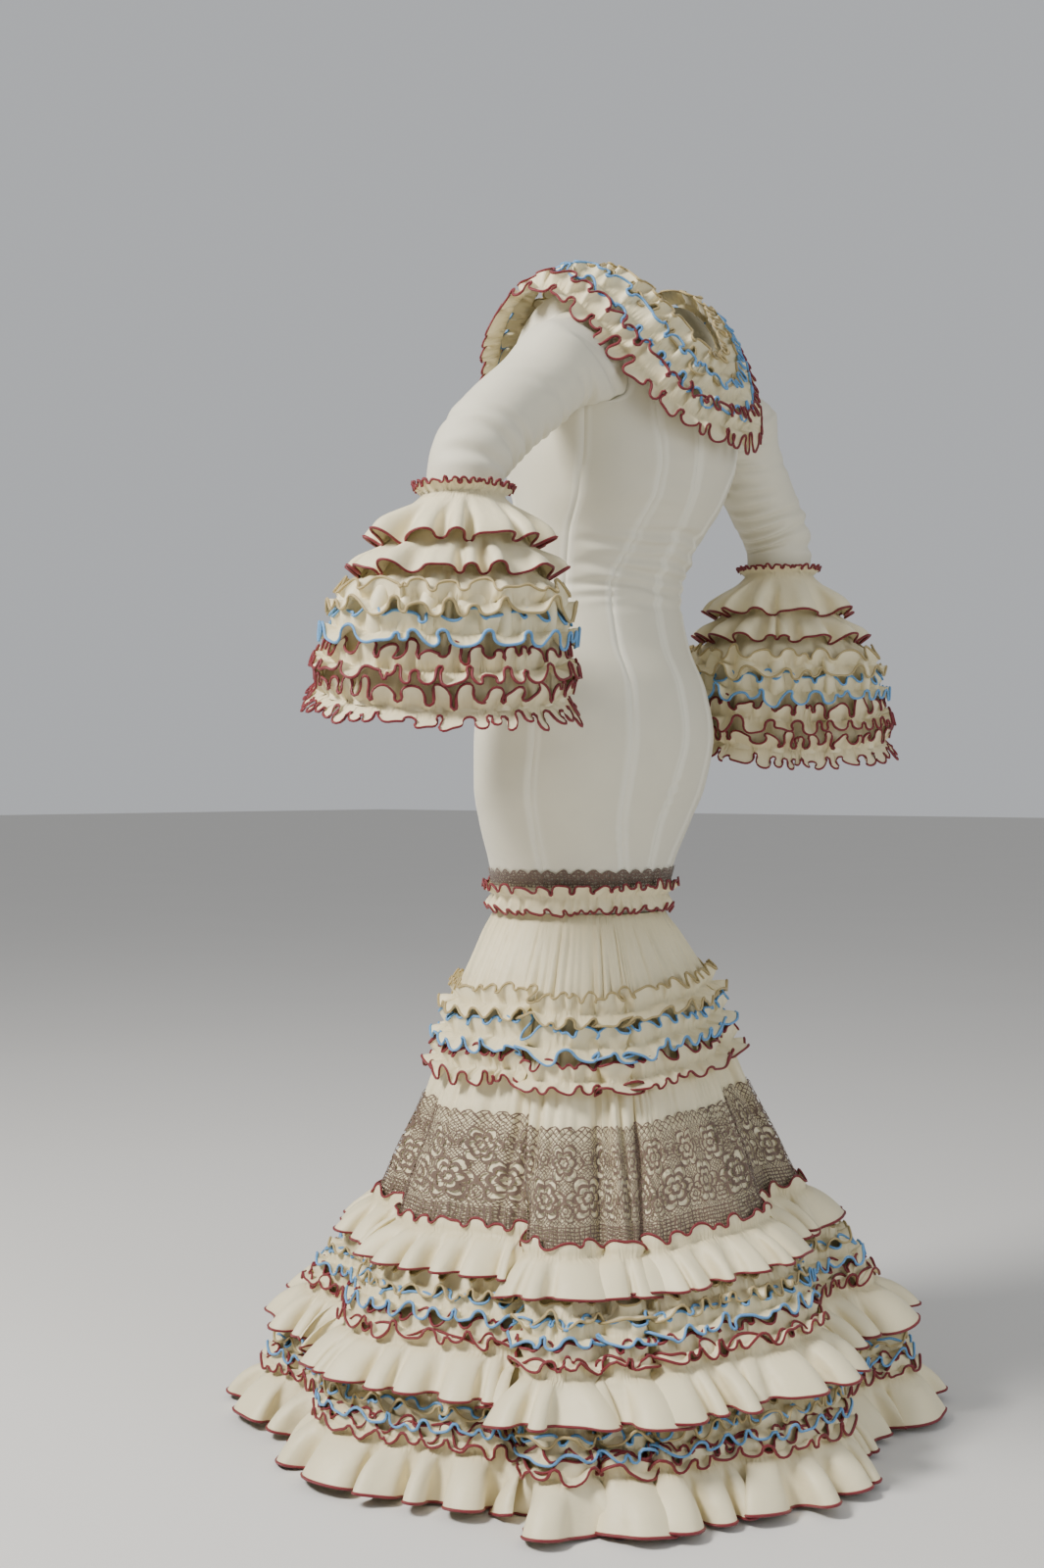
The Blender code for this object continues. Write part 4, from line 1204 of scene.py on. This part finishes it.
class DRESS_OT_collar(DressOperator):
    """Gathers three ruches round the neck, each over the next one out"""

    bl_idname = "dress.collar"
    bl_label = "Collar"

    def execute(self, context):
        settings = context.scene.dress
        turns = np.linspace(0, 360, RING_STEPS)
        lines = np.array(COLLAR_LINES)
        for level, (colour, waves, count) in enumerate(COLLAR_RUCHES):
            inner, outer = lines[level], lines[level + 1]
            ends = [ring_point(np.arange(0, 360, 5.0), line) for line in (inner, outer)]
            half = 0.5 * float(np.linalg.norm(ends[0] - ends[1], axis=1).mean())

            def ring(turn, up, inner=inner, outer=outer, half=half):
                middle = outer + (inner - outer) * (0.5 + up / (2 * half))
                return ring_point(turn, middle)

            wide = COLLAR_WIDER * half
            rows = ruche_rows(wide, COLLAR_FLARES, COLLAR_TILT, COLLAR_WAVE * settings.wave,
                              COLLAR_OUT)
            made = frill(ring, turns, rows, waves, COLLAR_TURNING, count, COLLAR_SEED + level,
                         detail=RUCHE_DETAIL)
            make_ruche("collar_ruche_" + colour, colour, made, settings)
        return {"FINISHED"}


class DRESS_OT_knee(DressOperator):
    """Puts the lace edging and the red ruche where the body meets the skirt"""

    bl_idname = "dress.knee"
    bl_label = "Knee trims"

    def execute(self, context):
        settings = context.scene.dress
        body = np.array(BODY_ROWS, float)[:2, :7]

        def ring(turn, up, out=0.0):
            share = (KNEE_RUCHE[0] + up - body[0, 0]) / (body[1, 0] - body[0, 0])
            row = body[0] + (body[1] - body[0]) * np.asarray(share)[..., None]
            row = row + np.array((0, 0, 0, out, out, 0, 0))
            return ring_point(turn, row)

        _, half, waves, count = KNEE_RUCHE
        rows = ruche_rows(half, KNEE_FLARES, KNEE_TILT, settings.wave)
        made = frill(ring, np.linspace(0, 360, RING_STEPS), rows, waves, KNEE_TURNING, count,
                     KNEE_SEED, detail=KNEE_DETAIL)
        make_ruche("knee_ruche", "red", made, settings)
        low, high, columns, steps, out = KNEE_LACE
        angle = 360 * np.arange(columns) / columns
        up = np.linspace(low, high, steps + 1)[:, None] - KNEE_RUCHE[0]
        grid = ring(angle[None, :], up, out)
        girth = float(row_lengths(grid)[0])
        flat = even_places(girth, columns, np.linspace(0, high - low, steps + 1))
        piece = closed_piece("knee_lace", "net", grid, flat, "knee_lace", "lace")
        return {"FINISHED"}


def cuff_at(hand, angle, drop, radius):
    """Points of a cuff on a leaning axis: radius * (1 + fold * cos 4 angle), fold growing down."""
    way = 1 if hand == "left" else -1
    end = SLEEVE_PATHS[hand][-1]
    lean_x, lean_y, length = CUFF_HANG[hand]
    share = np.maximum(drop, 0.0) / length
    depth = CUFF_FOLD * np.clip(drop / CUFF_FOLDS_FULL, 0, 1)
    swing = 1 + depth * np.cos(np.radians(CUFF_LOBES * angle))
    droop = CUFF_DROOP * share * share * np.cos(np.radians(angle - CUFF_DROOP_ANGLE))
    across, along = polar(angle)
    return np.stack(np.broadcast_arrays(
        way * (end[0] + lean_x * share) + radius * swing * across,
        end[1] + lean_y * share + radius * swing * along,
        end[2] - drop - droop,
    ), axis=-1)


class DRESS_OT_cuffs(DressOperator):
    """Hangs three gathered tiers from each sleeve, with ruches and a ruffled hem"""

    bl_idname = "dress.cuffs"
    bl_label = "Sleeve flounces"

    def execute(self, context):
        settings = context.scene.dress
        turns = np.linspace(0, 360, CUFF_STEPS)
        for hand in ("left", "right"):
            self.tiers(hand, turns, settings)
            for seed, (kind, colour, drop, radius, half, waves, turning, flares, tilt) in enumerate(
                    CUFF_RUCHES, CUFF_SEEDS[hand][1]):
                ring = lambda turn, up, d=drop, r=radius: cuff_at(
                    hand, turn, d - up, r - CUFF_SPREAD * up)
                rows = ruche_rows(half, flares, tilt, settings.wave)
                made = frill(ring, turns, rows, waves, turning, CUFF_COLUMNS, seed,
                             detail=RUCHE_DETAIL)
                make_ruche(f"sleeve_{hand}_{kind}", colour, made, settings)
        return {"FINISHED"}

    def tiers(self, hand, turns, settings):
        """The plain tiers: the rows follow the profile, and the waves grow towards the edge.

        The waves stand outwards only, so that no tier comes through the one over it, and the
        longest tier's fade out again under its ruches.
        """
        for seed, (kind, profile, heading, waves, turning, reach, count, steps) in enumerate(
                CUFF_TIERS, CUFF_SEEDS[hand][0]):
            rng = np.random.default_rng(seed)
            shares, sideways, waving, fullness = meander(count, waves, turning, CUFF_DWELL, rng)
            drops, radii = np.array(profile).T
            edge = lambda turn: cuff_at(hand, turn, drops[-1], radii[-1])
            turn, length = turns_by_length(edge, turns, shares % 1.0)
            drop = np.linspace(drops[0], drops[-1], steps + 1)[::-1, None]
            radius = through(drops, radii[:, None], drop)[..., 0]
            points = cuff_at(hand, turn[None, :], drop, radius)
            sway = step(drop, *reach) * np.minimum(1.0, radius / radii[-1] * CUFF_FULL)
            sway = sway * (1 - CUFF_FADE_SHARE * step(drop, *CUFF_FADE))
            waving = waving - CUFF_BIAS * waving.min()
            outward = waving[:, None] * surface_normals(points, ring=True)
            grid = points + (sway * length)[..., None] * (
                sideways[:, None] * along_ring(points) + outward)
            slant = float(np.linalg.norm(points[-1] - points[0], axis=1).mean())
            along = np.linspace(-slant, 0, steps + 1)
            edges = [] if kind == "tier_long" else [(grid[0], grid[1])]
            if heading:
                ring = lambda turn, up: cuff_at(hand, turn, drops[0] - up, radii[0] + HEADING_OUT)
                rows = [(heading * share, *rest) for share, *rest in CUFF_HEADING]
                curl = frill(ring, turns, rows, 3 * waves, HEADING_TURNING, count,
                             CUFF_SEEDS[hand][0] + HEADING_SEED)[0]
                grid = np.concatenate([grid, curl])
                along = np.concatenate([along, [row[0] for row in rows]])
                edges.append((grid[-1], grid[-2]))
            flat = even_places(length * fullness, count, along)
            name = f"sleeve_{hand}_{kind}"
            cords = [edge_cord(name, edges, settings.cord_radius, "red")] if edges else []
            piece = closed_piece(name, "cloth", grid, flat, "cream", "cream_cloth")
            girth = row_lengths(grid)


class DRESS_OT_zip(DressOperator):
    """Gives the zip's slider its ivory enamel"""

    bl_idname = "dress.zip"
    bl_label = "Zip slider"

    def execute(self, context):
        material, n, shader = new_material("slider_enamel", Metallic=0.3, Coat_Weight=0.3)
        place = n.add("ShaderNodeTexCoord").outputs["Object"]
        wear = n.noise(place, 900.0, 2.0)
        colour = context.scene.dress.crepe
        n.join(shader, Base_Color=n.mix(n.ramp(wear, 0.4, 0.7), colour, shade(colour, 0.8)),
               Roughness=n.ramp(wear, 0.3, 0.7, 0.3, 0.45))
        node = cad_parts["zip_slider"]
        node.data.materials.clear()
        node.data.materials.append(material)
        return {"FINISHED"}


class DRESS_OT_stage(DressOperator):
    """Sets the pale floor, the soft studio lights and the camera"""

    bl_idname = "dress.stage"
    bl_label = "Stage"

    def execute(self, context):
        settings = context.scene.dress
        half = FLOOR_SIZE / 2
        corners = [(-half, -half), (half, -half), (half, half), (-half, half)]
        mesh = bpy.data.meshes.new("floor")
        mesh.from_pydata([(x, y, -SHOULDER[2]) for x, y in corners], [], [(0, 1, 2, 3)])
        material, n, shader = new_material("floor_paint", Roughness=0.85)
        place = n.add("ShaderNodeTexCoord").outputs["Object"]
        cloud = n.noise(place, 1.5, 2.0)
        n.join(shader, Base_Color=n.mix(cloud, shade(settings.floor, 0.97), settings.floor))
        mesh.materials.append(material)
        floor = bpy.data.objects.new("floor", mesh)
        context.scene.collection.objects.link(floor)
        self.lights(context, settings)
        self.camera(context)
        return {"FINISHED"}

    def lights(self, context, settings):
        """A big key light to the camera's left, a dim fill on its right, and light from above."""
        world = bpy.data.worlds.new("studio")
        context.scene.world = world
        world.use_nodes = True
        n = Nodes(world.node_tree)
        seen = n.add("ShaderNodeLightPath").outputs["Is Camera Ray"]
        sky = world.node_tree.nodes["Background"]
        sky.inputs["Color"].default_value = rgba(settings.sky)
        n.join(sky, Strength=n.ramp(seen, 0.0, 1.0, settings.sky_strength, BACKDROP))
        across, along = (float(value) for value in polar(CAMERA_ANGLE))
        toward, right = Vector((across, along, 0)), Vector((-along, across, 0))
        for name, near, aside, height, size, share, colour in LAMPS:
            lamp = bpy.data.lights.new(name, "AREA")
            lamp.shape = "DISK"
            lamp.size, lamp.energy, lamp.color = size, share * settings.key_power, colour
            place = near * toward + aside * right + Vector((0, 0, height))
            self.put(context, name, lamp, place, Vector((0, 0, AIM_HEIGHT)) - place)
        sun = bpy.data.lights.new("top", "SUN")
        sun.angle, sun.energy = math.radians(TOP_SPREAD), settings.top_strength
        context.scene.collection.objects.link(bpy.data.objects.new("top", sun))

    def camera(self, context):
        """Level, on its bearing, and moved aside so that the dress stands right of the middle."""
        lens = bpy.data.cameras.new("camera")
        lens.lens = CAMERA_LENS
        across, along = (float(value) for value in polar(CAMERA_ANGLE))
        place = CAMERA_FROM * np.array((across, along, 0)) - SHOULDER
        place += CAMERA_ASIDE * np.array((along, -across, 0)) + (0, 0, CAMERA_HEIGHT)
        look = Vector((-across, -along, 0))
        context.scene.camera = self.put(context, "camera", lens, place, look)

    def put(self, context, name, data, place, look):
        """An object at a place that looks along a direction."""
        made = bpy.data.objects.new(name, data)
        made.location = place
        made.rotation_euler = look.to_track_quat("-Z", "Y").to_euler()
        context.scene.collection.objects.link(made)
        return made


# --- Settings, panel and run ----------------------------------------------------------------

def colour_setting(name, description, default):
    """A colour in linear red, green and blue."""
    return FloatVectorProperty(name=name, description=description, default=default, size=3,
                               subtype="COLOR", min=0.0, max=1.0)


class DressSettings(bpy.types.PropertyGroup):
    """Sizes and colours that a user would change."""

    crepe: colour_setting("Crepe", "Colour of the body and sleeves", (0.74, 0.70, 0.56))
    seam_colour: colour_setting("Seams", "Colour where the seam's turnings show through",
                                (0.84, 0.81, 0.68))
    cream: colour_setting("Cream", "Colour of the tiers, flounces and strips", (0.83, 0.745, 0.50))
    # Painted warm shade, mixed into the cream near the stitching of the gathers.
    gather_shade_colour: colour_setting("Gathers", "Warmer colour beside the stitching",
                                  (0.74, 0.64, 0.38))
    cord_red: colour_setting("Red cord", "Colour of the red binding", (0.20, 0.010, 0.019))
    cord_blue: colour_setting("Blue cord", "Colour of the blue binding", (0.13, 0.36, 0.70))
    cord_beige: colour_setting("Beige cord", "Colour of the beige binding", (0.48, 0.37, 0.17))
    lace: colour_setting("Lace", "Colour of the lace threads", (0.118, 0.072, 0.050))
    floor: colour_setting("Floor", "Colour of the floor", (0.70, 0.69, 0.67))
    sky: colour_setting("Sky", "Colour of the even light", (0.80, 0.82, 0.85))
    cord_radius: FloatProperty(name="Cord radius", description="Radius of the bound edges",
                               default=0.0019, min=0.0005, max=0.004, unit="LENGTH")
    wave: FloatProperty(name="Wave", description="Share of the ruches' full wave", default=0.8,
                        min=0.2, max=1.2, subtype="FACTOR")
    lace_height: FloatProperty(name="Lace height", description="Height of the lace band",
                               default=0.152, min=0.05, max=0.3, unit="LENGTH")
    sky_strength: FloatProperty(name="Sky strength", description="Strength of the even light",
                                default=0.22, min=0.0, max=5.0)
    top_strength: FloatProperty(name="Top light", description="Strength of the light from above",
                                default=0.9, min=0.0, max=10.0)
    key_power: FloatProperty(name="Key light", description="Power of the main lamp",
                             default=240.0, min=0.0, max=2000.0, unit="POWER")


OPERATORS = (
    DRESS_OT_body, DRESS_OT_sleeves, DRESS_OT_skirt_tiers, DRESS_OT_lace, DRESS_OT_skirt_flounces,
    DRESS_OT_skirt_ruches, DRESS_OT_collar, DRESS_OT_knee, DRESS_OT_cuffs, DRESS_OT_zip,
    DRESS_OT_stage,
)


class DRESS_PT_pieces(bpy.types.Panel):
    """Lists the operators and the settings"""

    bl_idname = "DRESS_PT_pieces"
    bl_label = "Flamenco dress"
    bl_space_type = "VIEW_3D"
    bl_region_type = "UI"
    bl_category = "Dress"

    def draw(self, context):
        for operator in OPERATORS:
            self.layout.operator(operator.bl_idname)
        for name in DressSettings.__annotations__:
            self.layout.prop(context.scene.dress, name)


CLASSES = (DressSettings, *OPERATORS, DRESS_PT_pieces)


def register():
    """Adds the classes and the scene's settings."""
    for item in CLASSES:
        bpy.utils.register_class(item)
    bpy.types.Scene.dress = PointerProperty(type=DressSettings)


def unregister():
    """Takes them away again."""
    del bpy.types.Scene.dress
    for item in reversed(CLASSES):
        bpy.utils.unregister_class(item)


def main():
    """Makes the whole dress."""
    register()
    make_finishes(bpy.context.scene.dress)
    for operator in OPERATORS:
        getattr(bpy.ops.dress, operator.bl_idname.split(".")[1])()
    bpy.context.view_layer.update()


if __name__ == "__main__":
    main()
